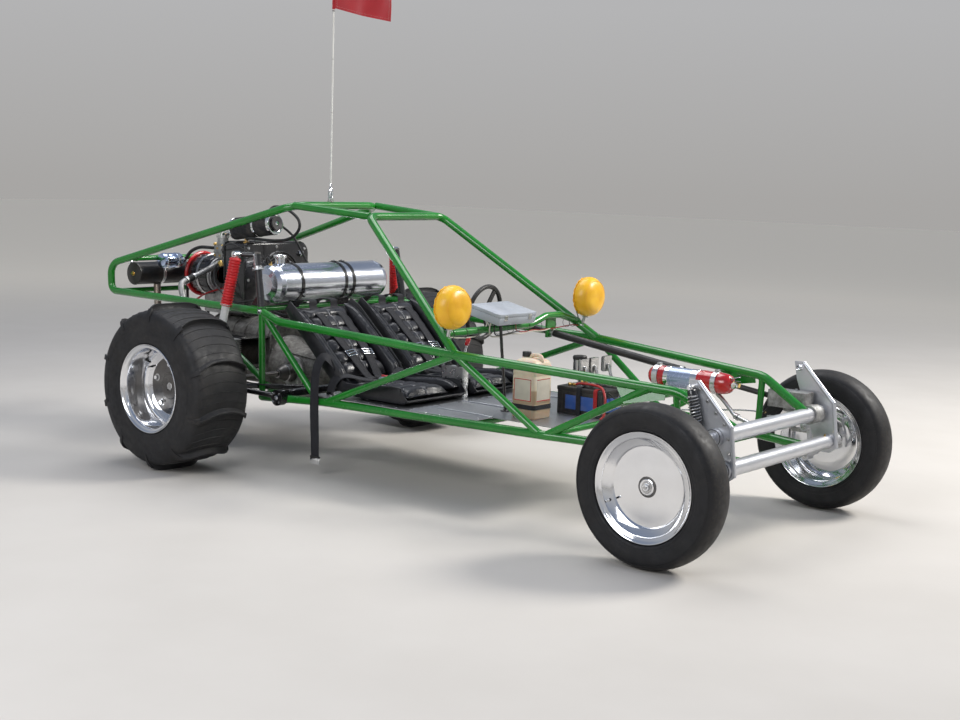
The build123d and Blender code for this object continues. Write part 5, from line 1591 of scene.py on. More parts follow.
P = Shape("cockpit_details", "root", None, "black_plastic", (), 34)
for y in (212, 290, 395):
    face_x = 1585
    prism(P, rounded(60, 70, 9), (face_x, y, 565), (-1, 0, 0), (0, 1, 0), 6, "hose", 1.5)
    for k in range(7):
        bar(P, (face_x - 6.4, y, 538 + 9 * k), (1.8, 50, 3.4), "hose", r=0.8, edge=0.4)
    bolt(P, (1666, y, 396), (0, -1, 0), 5, 4, "steel")
    lathe(P, [(0, -13), (10, -13), (10, 13), (0, 13)], (1660, y, 400), (0, 1, 0), "steel", 20)
    pts = [Vector((1668 + 9 * math.cos(a), y - 16 + 4.4 * a / (2 * math.pi), 400 + 9 * math.sin(a))) for a in [2 * math.pi * k / 14 for k in range(14 * 5)]]
    tube(P, pts, 1.5, "steel", 6)
lathe(P, [(30, 0), (31.5, 1), (31.5, 15), (29, 18), (12, 19.5), (0, 19.5)], (1560, 222, 594), (0, 0, 1), "plastic", 48)
for k in range(30):
    a = 2 * math.pi * k / 30
    bar(P, (1560 + 31.6 * math.cos(a), 222 + 31.6 * math.sin(a), 602), (2, 2.4, 11), "plastic", (math.cos(a), math.sin(a), 0), (0, 0, 1), 0.8, 0.4)
hose(P, [(1560, 222, 540), (1575, 222, 500), (1620, 222, 470), (1672, 220, 462), (1690, 220, 448)], 5.5, "hose")
clamp(P, (1688, 220, 450), (0.4, 0, -0.9), 5.5)
lathe(P, [(18, 0), (19.6, 1), (19.6, 7), (18, 8)], (1700, 220, 430), (1, 0, 0), "steel", 36)
hose(P, [(1758, 220, 430), (1790, 226, 428), (1840, 290, 402), (1900, 360, 392), (2100, 392, 412), (2300, 372, 440), (2436, 352, 452)], 3.4, "steel", 8, 10)
# shift gate, boots and the knob
brick(P, 934, 1066, -17, 17, 519.4, 523, "steel", 4, 1)
for c, top in (((958, 0, 521), (949, 0, 556)), ((1031, 0, 521), (1042, 0, 551))):
    a, b = Vector(c), Vector(top)
    prof = []
    for k in range(25):
        q = k / 24
        prof.append((19 - 11.5 * q + 1.7 * math.cos(q * 10 * math.pi), 36 * q))
    lathe(P, prof, a, b - a, "hose", 36)
for x in (941, 1059):
    for y in (-12, 12):
        bolt(P, (x, y, 523), (0, 0, 1), 3.4, 2.6, "steel", False)
lathe(P, [(0, -19), (9, -18.6), (16, -13), (20.2, -4), (20.4, 3), (17, 11.5), (10, 17.5), (0, 19.4)], (909, 0, 713), (-0.24, 0, 0.97), "plastic", 44)
lathe(P, [(8, 0), (8, 9), (6, 11)], (913, 0, 690), (-0.24, 0, 0.97), "chrome", 24)
lathe(P, [(0, 0), (8, 0.4), (11, 6), (11, 32), (9, 38), (0, 40)], (1066, 0, 626), (0.316, 0, 0.949), "red", 32)
# rivets round the floor and its pressed beads
for s in (1, -1):
    for k in range(15):
        x = 640 + 84 * k
        y = s * float(np.interp(x, (560, 1480, 1864), (472, 455, 441)))
        lathe(P, [(6, 0), (5.2, 1.6), (3, 2.6), (0, 2.9)], (x, y, 379.8), (0, 0, 1), "steel", 16)
for x in (800, 1480):
    for k in range(9):
        lathe(P, [(6, 0), (5.2, 1.6), (3, 2.6), (0, 2.9)], (x, -400 + 100 * k, 379.8), (0, 0, 1), "steel", 16)
for y in (-330, -90, 90, 330):
    hose(P, [(1130, y, 378.4), (1200, y, 381.2), (1300, y, 381.4), (1420, y, 381.4), (1500, y, 378.4)], 5, "sheet", 6, 12)
for k in range(26):
    bar(P, (1140, -425 + 34 * k, 381), (3, 22, 2.4), "sheet", (1, 1 if k % 2 else -1, 0), (0, 0, 1), 1, 0.6)
# hanging end of the outer lap strap
strip(P, [(660, -405, 440), (640, -440, 520), (620, -470, 560), (604, -492, 552), (594, -511, 500), (590, -517, 420), (589, -516, 300), (592, -513, 180),
          (594, -511, 62)],
      [(0.2, 0.1, 1), (0.1, -0.3, 1), (0.05, -0.6, 0.8), (0, -0.95, 0.3), (0, -1, 0.02), (0.02, -1, 0), (0.10, -1, 0), (0.05, -1, 0), (-0.05, -1, 0)], 52, 2.6, "web", 8)
bar(P, (594, -511.5, 74), (58, 7, 30), "chrome", (1, 0.05, 0), (0, 0, 1), 2, 1)
bar(P, (594, -511.5, 92), (60, 9, 9), "plastic", (1, 0.05, 0), (0, 0, 1), 3, 1.5)
P.make()

# steering wheel trim: button, screws, sleeve collars
Q = Shape("steering_wheel_details", "steering_wheel_body", None, "black_leather", (), 34)
ch, cl = Vector((950.0, 263.1, 754.8)), Vector((2450.0, 368.0, 523.0))
cd = (cl - ch).normalized()
lathe(Q, [(0, 12.5), (15, 12.2), (20, 10.6), (22, 8), (27, 7), (30, 9.6), (31.5, 10.6), (31.5, 9), (31.5, 4)], ch, -cd, "chrome", 48)
lathe(Q, [(0, 14.6), (10, 14.2), (15, 12.6)], ch, -cd, "plastic", 40)
u, v, w = basis(cd)
for k in range(6):
    a = math.radians(30 + 60 * k)
    p = ch + (u * math.cos(a) + v * math.sin(a)) * 25 - cd * 7.4
    lathe(Q, [(3.2, 0), (3.2, 1.6), (1.4, 2), (1.2, 1), (0, 1)], p, -cd, "steel", 14)
for k in range(40):
    a = 2 * math.pi * k / 40
    c = ch + (u * math.cos(a) + v * math.sin(a)) * 130
    tube(Q, [c + ((u * math.cos(a) + v * math.sin(a)) * math.cos(b) - cd * math.sin(b)) * 11.2 + (v * math.cos(a) - u * math.sin(a)) * 1.8 * math.sin(3 * b)
             for b in [math.pi * (0.65 + 0.7 * j / 6) for j in range(7)]], 0.7, "thread_dark", 5)
for t in (404, 1098):
    lathe(Q, [(17, -9), (19, -8), (19, 8), (17, 9)], ch + cd * t, cd, "steel", 32)
Q.make()

# --------------------------------------------------------------------------- shocks
for s, side in ((1, "left"), (-1, "right")):
    R = Shape("rear_shock_" + side, "root", None, "shock_body", ("rear_shocks",), 34)
    top, low = Vector((75, s * 552, 1005)), Vector((12, s * 634, 462))
    d = (low - top).normalized()
    total = (low - top).length
    # pleated cover, white body, polished rod
    prof = [(13, 14), (20, 16), (25, 20)]
    k = 0
    t = 24.0
    while t < 236:
        prof += [(28.6, t), (29.0, t + 2.4), (28.6, t + 5), (25.2, t + 8.2), (24.6, t + 10.0), (25.2, t + 11.8)]
        t += 13.6
    prof += [(28, 240), (29.4, 242), (29.4, 250), (27, 252), (20, 252)]
    lathe(R, prof, top, d, "boot", 64)
    lathe(R, [(29.2, 243.5), (30.2, 244), (30.2, 248), (29.2, 248.5)], top, d, "steel", 48)
    lathe(R, [(20, 248), (20, 262), (19.2, 264), (19.2, 402), (20.4, 404), (20.4, 420), (18, 428), (11, 432)], top, d, "white", 48)
    lathe(R, [(9.6, 428), (9.6, total - 12)], top, d, "chrome", 28)
    lathe(R, [(9.8, total - 46), (14, total - 44), (14, total - 34), (9.8, total - 32)], top, d, "steel", 6)
    lathe(R, [(0, 6), (9, 8), (13, 12), (13, 20)], top, d, "chrome", 28)
    for c, y0, y1, r in ((top, 536, 570, 17), (low, 616, 650, 16)):
        a = (c.x, s * y0, c.z)
        w = y1 - y0
        lathe(R, [(9, 0), (r - 1, 0), (r, 1.2), (r, w - 1.2), (r - 1, w), (9, w)], a, (0, s, 0), "chrome", 40)
        lathe(R, [(6, 1.2), (9.5, 1.2), (9.5, w - 1.2), (6, w - 1.2)], a, (0, s, 0), "hose", 28)
        bolt(R, (c.x, s * (y1 - 0.5), c.z), (0, s, 0), 7.6, 6, "chrome")
        bolt(R, (c.x, s * (y0 + 0.5), c.z), (0, -s, 0), 7.6, 6, "steel")
        tube(R, [(c.x, s * (y0 - 4), c.z), (c.x, s * (y1 + 4), c.z)], 5.6, "steel", 14)
    R.make()

    R = Shape("front_shock_" + side, "root", None, "shock_body", ("front_shocks",), 34)
    a, b, c = Vector((2556, s * 457, 650)), Vector((2596, s * 457, 480)), Vector((2632, s * 457, 327))
    d1 = (b - a).normalized()
    n1 = (b - a).length
    lathe(R, [(9, 6), (15, 9), (17.8, 14), (17.8, 30), (18.3, 32), (18.3, n1 - 10), (16.5, n1 - 4), (11, n1), (0, n1)], a, d1, "black_gloss", 44)
    for t in (34, n1 - 14):
        lathe(R, [(18.2, t - 3), (19.1, t - 2.4), (19.1, t + 2.4), (18.2, t + 3)], a, d1, "chrome", 44)
    d2 = (c - b).normalized()
    lathe(R, [(8, -6), (8, (c - b).length - 12)], b, d2, "chrome", 28)
    lathe(R, [(8, (c - b).length - 34), (11, (c - b).length - 30), (11, (c - b).length - 10)], b, d2, "steel", 28)
    pts = []
    n0 = 150.0
    for k in range(24 * 8 + 1):
        t = 2 * math.pi * k / 24
        q = a + d1 * (38 + 11.5 * k / 24)
        e, f, g = basis(d1)
        pts.append(q + (e * math.cos(t) + f * math.sin(t)) * 20.6)
    tube(R, pts, 2.2, "steel", 7)
    for q, y0, y1, r in ((a, 432, 470, 12), (Vector((2632, 0, 322)), 446, 492, 10)):
        w = y1 - y0
        lathe(R, [(5, 0), (r - 0.8, 0), (r, 1), (r, w - 1), (r - 0.8, w), (5, w)], (q.x, s * y0, q.z), (0, s, 0), "steel", 32)
        bolt(R, (q.x, s * (y1 - 0.4), q.z), (0, s, 0), 7.4, 5.5, "chrome")
    R.make()

# --------------------------------------------------------------------------- collars and bolts of the rear shock posts
for s, side in ((1, "left"), (-1, "right")):
    C = Shape("post_details_" + side, "root", None, "chrome_parts", (), 34)
    foot, head = Vector((198, s * 497, 740)), Vector((146, s * 486, 1014))
    along = (head - foot).normalized()
    reach = (head - foot).length
    out = along.cross(Vector((1, 0, 0)))
    out = (out * (1 if out.y * s > 0 else -1)).normalized()
    c = foot + along * (reach * 0.72)
    lathe(C, [(17.9, -5), (27, -5), (28.4, -3.4), (28.4, 1.6), (27, 3), (17.9, 3)], c, along, "sheet", 48)
    lathe(C, [(17.9, 3), (21, 3.4), (21, 15), (17.9, 16)], c, along, "steel", 40)
    for k in range(4):
        a = math.radians(45 + 90 * k)
        d = Vector((1, 0, 0)) * math.cos(a) + out * math.sin(a)
        bolt(C, c + d * 23.4 + along * 2.4, along, 3.6, 3, "chrome", False)
    # bright sheet-metal strap along the post's outer side, up to its cap; it stands for the highlight along the post's
    # upper part, a painted highlight
    b = c + along * 16
    e = foot + along * (reach - 2)
    mid = (b + e) / 2 + out * 18.6
    bar(C, mid, ((e - b).length, 13, 2.6), "sheet", along, out, 1.1)
    for q in (0.14, 0.86):
        bolt(C, b + (e - b) * q + out * 19.6, out, 4, 3, "chrome", False)
    lathe(C, [(17.9, -7), (19.4, -6), (19.4, 1.4), (17, 3.4), (0, 4)], head, along, "dark_steel", 44)
    # bolt and its washer at the foot
    f = Vector((206, s * 517.4, 738))
    lathe(C, [(0, 0), (12, 0), (12.6, 1), (12, 2.4), (0, 2.4)], f, (0.25, s, 0), "sheet", 28)
    bolt(C, f + Vector((0.6, s * 2.2, 0)), (0.25, s, 0), 8, 6, "chrome", False)
    # arm weld beads
    weld(C, (75, s * 528, 1005), (152, s * 490, 1005), 12, tuple(foot), tuple(head), 18, "black_gloss")
    weld(C, tuple(head), tuple(foot), 18, (200, s * 498, 738), (-1050, s * 455, 745), 19, "black_gloss")
    C.make()

# --------------------------------------------------------------------------- tank fittings
T = Shape("tank_fittings", "root", None, "tank_metal", (), 34)
for y in (-339, 339):
    lathe(T, [(96.8, -3), (98.0, -2), (98.0, 2), (96.8, 3)], (105, y, 858), (0, 1, 0), "tank", 96)
verts, faces, n = [], [], 120
prof = [(31.0, 984.5), (31.6, 986), (31.6, 996), (30.4, 998.6), (27, 999.6), (20, 1000.2), (19, 999.4), (0, 999.4)]
for i, (r, z) in enumerate(prof[:-1]):
    for j in range(n):
        a = 2 * math.pi * j / n
        rr = r + (0.7 if (j % 5) < 3 and i in (1, 2) else 0)
        verts.append(Vector((105 + rr * math.cos(a), -300 + rr * math.sin(a), z)))
for i in range(len(prof) - 2):
    for j in range(n):
        j2 = (j + 1) % n
        faces.append((i * n + j, i * n + j2, (i + 1) * n + j2, (i + 1) * n + j))
faces.append(tuple(range((len(prof) - 2) * n, (len(prof) - 1) * n)))
T.add(verts, faces, "chrome")
lathe(T, [(24.2, 0), (29, 1), (30.5, 3), (24.4, 6)], (105, -300, 951.5), (0, 0, 1), "tank", 60)
lathe(T, [(24.2, 0), (26, 0.6), (26, 5), (24.2, 6)], (105, -300, 978), (0, 0, 1), "chrome", 60)
for y in (-230, 69, 124):
    for k in (-1, 1):
        p = (105 + k * 101, y, 812)
        bar(T, (105 + k * 99.5, y, 806), (7, 15, 22), "black_gloss", r=2)
        bolt(T, (105 + k * 103, y, 808), (k, 0, 0), 5.2, 4, "steel")
    bar(T, (105, y, 959.2), (30, 14, 3.6), "black_gloss", r=2)
    bolt(T, (105, y, 961), (0, 0, 1), 4.8, 4, "steel", False)
for y in (-180, 200):
    lathe(T, [(11, 0), (11, 7), (7, 9), (7, 16)], (105, y, 764), (0, 0, -1), "brass", 6)
hose(T, [(105, -180, 750), (100, -182, 730), (40, -190, 690), (-60, -190, 700), (-220, -170, 740), (-400, -160, 720), (-560, -150, 800), (-606, -118, 880), (-606, -96, 903)], 5.2, "hose")
clamp(T, (104, -180, 744), (0, 0, -1), 5.2)
hose(T, [(105, -360, 955), (100, -362, 975), (60, -340, 984), (10, -300, 960), (-20, -250, 900), (-24, -236, 820), (-10, -236, 765)], 4.2, "hose")
lathe(T, [(9, 0), (9, 8), (5, 10), (5, 17)], (105, -360, 949.5), (0, 0, 1), "brass", 6)
T.make()

# --------------------------------------------------------------------------- engine
def finned(S, origin, axis, length, core, rim, pitch, thick, mat, n=56):
    prof = [(core, 0)]
    t = 2.0
    while t + thick < length:
        prof += [(core, t), (rim - 0.8, t + 0.2), (rim, t + thick / 2), (rim - 0.8, t + thick - 0.2), (core, t + thick)]
        t += pitch
    prof.append((core, length))
    lathe(S, prof, origin, axis, mat, n)


N = Shape("engine_look", "root", None, "cast_alloy", ("engine_block",), 34)
case = [(-125, 380), (-112, 345), (-88, 318), (-60, 306), (60, 306), (88, 318), (112, 345), (125, 380), (125, 560), (108, 596), (70, 622), (40, 636),
        (-40, 636), (-70, 622), (-108, 596), (-125, 560)]
prism(N, case, (-660, 0, 0), (1, 0, 0), (0, 1, 0), 509, "magnesium", 7, 7, 3)
for x in (-640, -545, -450, -355, -260, -172):
    sweep(N, [Vector((x, a, b)) for a, b in inset(case, -1.2)], [(-4, -3), (4, -3), (3, 3), (-3, 3)], "magnesium", (1, 0, 0), True, True)
bar(N, (-405, 0, 304), (440, 150, 8), "magnesium", r=20)
for k in range(9):
    bar(N, (-405, -60 + 15 * k, 300), (420, 3.4, 9), "magnesium", r=1.5)
for x, z in ((-620, 600), (-500, 628), (-360, 628), (-220, 610), (-640, 340), (-180, 340)):
    bolt(N, (x, 4, z + (10 if z > 500 else -20)), (0, 0, 1 if z > 500 else -1), 6, 5, "steel")
for x in (-260, -450):
    for s in (1, -1):
        finned(N, (x, s * 122, 470), (0, s, 0), 170, 54, 66, 8.6, 3.6, "iron")
for s in (1, -1):
    # head: core, stacked fins, rocker cover with its wire bail
    y0, y1 = s * 292, s * 352
    brick(N, -548, -192, min(y0, y1), max(y0, y1), 400, 556, "cast", 10, 3)
    for k in range(15):
        z = 404 + 10.4 * k
        ya, yb = sorted((s * 290, s * 358))
        brick(N, -560, -180, ya, yb, z, z + 3.6, "cast", 12, 1)
    cover = rounded(352, 88, 26, 6)
    prism(N, cover, (-370, s * 352, 470), (0, s, 0), (1, 0, 0), 38, "chrome", 12, 0.5, 5)
    prism(N, rounded(362, 98, 28, 6), (-370, s * 350, 470), (0, s, 0), (1, 0, 0), 6, "chrome", 1.5)
    hose(N, [(-470, s * 356, 420), (-468, s * 384, 424), (-440, s * 392.5, 446), (-370, s * 393, 452), (-300, s * 392.5, 446), (-272, s * 384, 424), (-270, s * 356, 420)],
         2.6, "steel", 6, 8)
    for x in (-500, -400, -310, -210):
        tube(N, [(x, s * 120, 392), (x, s * 200, 396), (x, s * 296, 412)], 9.5, "chrome", 18)
        for q in range(6):
            for e in (132, 272):
                p0 = Vector((x, s * (e + 4.2 * q), 393 + 0.06 * (e - 120)))
                lathe(N, [(9.4, -1.6), (12.4, 0), (9.4, 1.6)], p0, (0, s, 0.05), "steel", 20)
    # tin over the cylinders
    tin = [(-575, s * 128), (-575, s * 296), (-155, s * 296), (-155, s * 128)]
    brick(N, -600, -150, min(s * 128, s * 298), max(s * 128, s * 298), 553, 560, "black_gloss", 14, 2.5)
    # plug and its lead cap in the top of the head
    for x in (-450, -260):
        lathe(N, [(12, 0), (12, 10), (9, 14), (7, 34), (6.4, 36), (0, 36)], (x, s * 318, 556), (0, s * 0.3, 1), "wire_red", 22)
# generator stand, oil filler and pulley end
brick(N, -655, -560, -58, 18, 630, 652, "cast", 8, 3)
lathe(N, [(24, 0), (24, 60), (27, 62), (27, 74), (24, 76)], (-600, 92, 600), (0, 0.25, 1), "cast", 40)
lathe(N, [(28, 72), (30, 74), (30, 84), (27, 88), (0, 88.5)], (-600, 92, 600), (0, 0.25, 1), "chrome", 40)
lathe(N, [(30, 0), (30, 34), (86, 36), (88, 38), (88, 41), (78, 47), (78, 49), (88, 55), (88, 58), (84, 60), (30, 58), (26, 64), (0, 64)], (-655, 0, 470), (-1, 0, 0), "black_gloss", 72)
tube(N, [(-715, 0, 470), (-898, 0, 470)], 24, "dark_steel", 36)
lathe(N, [(24, 0), (74, 0), (78, 2), (78, 5), (68, 11), (68, 15), (78, 21), (78, 24), (74, 26), (24, 26), (24, 34), (0, 34)], (-867, 0, 470), (-1, 0, 0), "chrome", 80)
for k in range(6):
    a = math.radians(60 * k)
    bolt(N, (-893, 44 * math.cos(a), 470 + 44 * math.sin(a)), (-1, 0, 0), 6, 4, "steel", False)
# distributor, cap, coil and leads
lathe(N, [(16, 0), (16, 40), (28, 46), (30, 52), (30, 76), (26, 92), (18, 104), (0, 106)], (-628, 66, 640), (0.05, 0.18, 1), "plastic", 40)
for k in range(4):
    a = math.radians(45 + 90 * k)
    p = Vector((-624 + 17 * math.cos(a), 86 + 17 * math.sin(a), 738))
    lathe(N, [(6, 0), (6, 12), (4, 16), (0, 16)], p, (0.05, 0.18, 1), "plastic", 14)
    s = 1 if k in (0, 1) else -1
    x = -450 if k in (0, 3) else -260
    hose(N, [tuple(p + Vector((0, 2, 14))), tuple(p + Vector((-10, 10 * s, 40))), (-640, 150 * s, 745), (-600, 262 * s, 690), (x - 60, 322 * s, 636),
             (x, 332 * s, 612), (x, 329.5 * s, 590)], 3.9, "wire_red", 8, 10)
lathe(N, [(0, 0), (24, 0), (26, 2), (26, 104), (23, 108), (12, 110), (12, 124), (0, 124)], (-578, 232, 690), (-0.2, 0, 1), "blue_silver", 44)
lathe(N, [(26.4, 40), (28, 41), (28, 58), (26.4, 59)], (-578, 232, 690), (-0.2, 0, 1), "steel", 44)
bar(N, (-566, 232, 740), (22, 40, 26), "steel", r=3)
N.make()

U = Shape("shroud_look", "root", None, "black_plastic", ("fan_shroud",), 34)
shell = [(-100, 1006), (-94, 1020), (-80, 1026), (300, 1026), (320, 1018), (336, 1004), (346, 986), (350, 968), (350, 600), (330, 566), (296, 578),
         (130, 641), (-88, 641), (-100, 653)]
prism(U, shell, (-555, 0, 0), (1, 0, 0), (0, 1, 0), 170, "black_gloss", 9, 9, 3)
for x in (-548, -392):
    sweep(U, [Vector((x, a, b)) for a, b in inset(shell, -0.8)], [(-3.5, -2.6), (3.5, -2.6), (2.6, 2.2), (-2.6, 2.2)], "black_gloss", (1, 0, 0), True, True)
# air intake on the front face with its guard
ic = (-386, 150, 850)
lathe(U, [(118, -4), (118, 3), (124, 8), (131, 6), (135, 0)], ic, (1, 0, 0), "black_gloss", 88)
lathe(U, [(0, -1), (118, -1)], ic, (1, 0, 0), "dial", 60)
for r in (24, 48, 72, 96, 112):
    torus(U, (-380, 150, 850), (1, 0, 0), r, 1.7, "dark_steel", 72, 6)
for k in range(8):
    a = math.radians(45 * k + 22)
    tube(U, [(-379.5, 150 + 24 * math.cos(a), 850 + 24 * math.sin(a)), (-379.5, 150 + 118 * math.cos(a), 850 + 118 * math.sin(a))], 1.8, "dark_steel", 8)
for k in range(22):
    a = 2 * math.pi * k / 22
    d = Vector((0, math.cos(a), math.sin(a)))
    bar(U, Vector((-384.4, 150, 850)) + d * 86, (2.4, 4, 48), "dark_steel", d.cross(Vector((1, 0, 0))), d, 1, 0.6)
for a, b in ((-76, 1000), (322, 990), (-76, 670), (322, 630), (120, 1004), (30, 668), (-76, 830), (330, 820)):
    bolt(U, (-384.6, a, b), (1, 0, 0), 5.6, 4, "steel")
    bolt(U, (-555.4, a, b), (-1, 0, 0), 5.6, 4, "steel")
for y in (-30, 70, 170, 270):
    hose(U, [(-545, y, 1024.5), (-530, y, 1027), (-470, y, 1027.6), (-410, y, 1027), (-396, y, 1024.5)], 4, "black_gloss", 6, 10)
bar(U, (-410, 30, 1034), (54, 26, 14), "sheet", (1, 0.3, 0), (0, 0, 1), 4)
bolt(U, (-410, 30, 1041), (0, 0, 1), 6, 5, "chrome")
lathe(U, [(0, 0), (16, 0), (17, 2), (17, 12), (12, 16), (0, 16)], (-385, 292, 965), (1, 0, 0.2), "chrome", 30)
# drum of the alternator with cooling slots, bright end bell, red guard ring and the pulley
dc = (-20.0, 837.0)
lathe(U, [(0, 0), (60, 0), (60, -2), (100, -2), (106, 2), (108, 8), (108, 140), (104, 148), (96, 152)], (-825, dc[0], dc[1]), (1, 0, 0), "black_gloss", 88)
lathe(U, [(98, 146), (98, 154), (94, 160), (86, 163), (84, 167), (70, 169), (44, 169.5)], (-825, dc[0], dc[1]), (1, 0, 0), "bell", 80)
for k in range(20):
    a = 2 * math.pi * k / 20
    d = Vector((0, math.cos(a), math.sin(a)))
    p = Vector((-750, dc[0], dc[1])) + d * 108.4
    bar(U, p, (96, 7, 4.6), "dark_steel", (1, 0, 0), d, 3, 1.2)
    p = Vector((-657, dc[0], dc[1])) + d * 72
    bar(U, p, (5, 5, 40), "bell", Vector((1, 0, 0)).cross(d), d, 2, 1)
torus(U, (-826, dc[0], dc[1]), (1, 0, 0), 113, 10.5, "red", 96, 16)
for k in range(6):
    a = math.radians(30 + 60 * k)
    d = Vector((0, math.cos(a), math.sin(a)))
    tube(U, [Vector((-838, dc[0], dc[1])) + d * 108, Vector((-850, dc[0], dc[1])) + d * 84, Vector((-852, dc[0], dc[1])) + d * 40], 4.4, "red", 10)
    bolt(U, Vector((-836, dc[0], dc[1])) + d * 114, (-1, 0, 0), 6.4, 5, "chrome")
lathe(U, [(0, 0), (38, 0), (40, 2), (40, 16), (36, 18)], (-842, -20, 830), (-1, 0, 0), "cast", 48)
tube(U, [(-824, -20, 830), (-897, -20, 830)], 12, "steel", 28)
lathe(U, [(12, 0), (66, 0), (70, 2), (70, 6), (60, 12), (60, 15), (70, 21), (70, 25), (66, 27), (40, 27), (38, 22), (12, 22)], (-866, -20, 830), (-1, 0, 0), "chrome", 80)
for k in range(5):
    a = math.radians(72 * k)
    lathe(U, [(9, 0), (9, 1)], (-892.6, -20 + 48 * math.cos(a), 830 + 48 * math.sin(a)), (-1, 0, 0), "dial", 24)
bolt(U, (-888, -20, 830), (-1, 0, 0), 13, 9, "chrome")
bar(U, (-690, -20, 700), (170, 70, 130), "cast", r=14, edge=8)
lathe(U, [(110, -8), (112.5, -7), (112.5, 7), (110, 8)], (-742, dc[0], dc[1]), (1, 0, 0), "steel", 80)
# V belt between the two pulleys
ya, za, ra, yb, zb, rb = -20.0, 830.0, 66.0, 0.0, 470.0, 74.0
loop = []
ang = math.atan2(zb - za, yb - ya)
off = math.acos((ra - rb) / math.hypot(yb - ya, zb - za))
for k in range(25):
    a = ang + off + (2 * math.pi - 2 * off) * k / 24
    loop.append(Vector((-879.5, ya + ra * math.cos(a), za + ra * math.sin(a))))
for k in range(25):
    a = ang - off + (2 * off) * k / 24
    loop.append(Vector((-880, yb + rb * math.cos(a), zb + rb * math.sin(a))))
full = []
for i, p in enumerate(loop):
    q = loop[(i + 1) % len(loop)]
    n = max(1, int((q - p).length / 24))
    full += [p.lerp(q, j / n) for j in range(n)]
sweep(U, full, [(-6.5, -4), (6.5, -4), (6.5, 4), (-6.5, 4)], "hose", (1, 0, 0), True, True)
# breather can clamped to the cage's cross tube
lathe(U, [(0, 0), (26, 0), (36, 5), (40, 13), (40, 118), (36, 126), (26, 131), (16, 133), (16, 142), (0, 142)], (-836, -298, 913), (0, 1, 0), "blue_chrome", 64)
for t in (28, 100):
    lathe(U, [(39.8, t - 8), (42, t - 7), (42, t + 7), (39.8, t + 8)], (-836, -298, 913), (0, 1, 0), "chrome", 64)
    bar(U, (-875, -298 + t, 921), (26, 15, 24), "steel", r=3)
    lathe(U, [(13.6, -8), (17.2, -7), (17.2, 7), (13.6, 8)], (-890, -298 + t, 925), (0, 1, 0), "steel", 40)
hose(U, [(-836, -158, 913), (-832, -140, 914), (-800, -124, 960), (-740, -116, 985), (-690, -100, 988), (-668, -70, 985)], 9, "hose", 8, 16)
clamp(U, (-836, -150, 913), (0, 1, 0), 9)
U.make()

V = Shape("carburettor_look", "root", None, "cast_alloy", ("carburettor",), 34)
brick(V, -666, -594, -80, -8, 932, 1002, "cast", 9, 4)
brick(V, -668, -592, -82, -6, 962, 968, "cast", 9, 1.5)
lathe(V, [(22, 0), (22, 44), (20, 46), (0, 46)], (-630, -2, 936), (0, 0, 1), "cast", 44)
lathe(V, [(22, 0), (34, 0), (35, 2), (35, 9), (30, 10), (29, 43)], (-630, -44, 1003), (0, 0, 1), "cast", 56)
lathe(V, [(21, 0), (32, 0), (33, 2), (33, 10), (22, 12), (22, 31)], (-630, -44, 900), (0, 0, 1), "cast", 48)
for x in (-660, -600):
    for y in (-74, -14):
        bolt(V, (x, y, 1001), (0, 0, 1), 4.6, 4, "brass")
for k, (x, z) in enumerate(((-652, 948), (-612, 948), (-632, 986))):
    lathe(V, [(5.5, 0), (5.5, 4), (3, 5), (0, 5)], (x, -80, z), (0, -1, 0), "brass", 6 if k < 2 else 20)
# throttle lever, linkage and its return spring
bar(V, (-588, -60, 950), (5, 46, 12), "steel", (0, 0.3, 1), (1, 0, 0), 4)
tube(V, [(-592, -44, 944), (-582, -44, 944)], 5, "steel", 14)
pts = [Vector((-586 + 3.6 * math.cos(a), -78 + 3.6 * math.sin(a), 942 - 2.2 * a / (2 * math.pi))) for a in [2 * math.pi * k / 12 for k in range(12 * 18)]]
tube(V, pts, 0.8, "steel", 5)
hose(V, [(-586, -78, 960), (-560, -110, 985), (-470, -150, 1015), (-380, -150, 1010), (-200, -125, 930), (-40, -70, 740), (100, -60, 560), (300, -40, 400)], 2.6, "wire_black", 8, 8)
# brass banjo fittings
lathe(V, [(0, 0), (11, 0), (11, 6), (15.5, 8), (16.5, 12), (16.5, 20), (14, 23), (8, 24), (8, 27), (0, 27)], (-606, -68, 905), (0.35, -1, 0.05), "brass", 40)
lathe(V, [(0, 0), (13, 0), (14, 2), (14, 11), (11, 14), (0, 14.5)], (-656, -70, 1001), (0, 0, 1), "brass", 6)
for s in (1, -1):
    run = curve([(-630, -44 + 20 * s, 914), (-630, s * 120, 884), (-630, s * 240, 838), (-630, s * 300, 818), (-622, s * 330, 796), (-596, s * 338, 740),
                 (-545, s * 343, 640), (-506, s * 345, 566)], 7)
    tube(V, run, 15.6, "cast", 22)
    for i0, i1 in ((14, 20),):
        tube(V, run[i0:i1], 19, "hose", 24)
    clamp(V, run[14], run[15] - run[14], 19)
    clamp(V, run[19], run[19] - run[18], 19)
    e = run[-1] - run[-2]
    lathe(V, [(14, -14), (27, -14), (28, -12), (28, -6), (14, -4)], run[-1], e, "cast", 36)
    for k in (-1, 1):
        bolt(V, run[-1] - e.normalized() * 16 + Vector((0, k * 20, 0)), -e, 5.4, 5, "steel", False)
V.make()

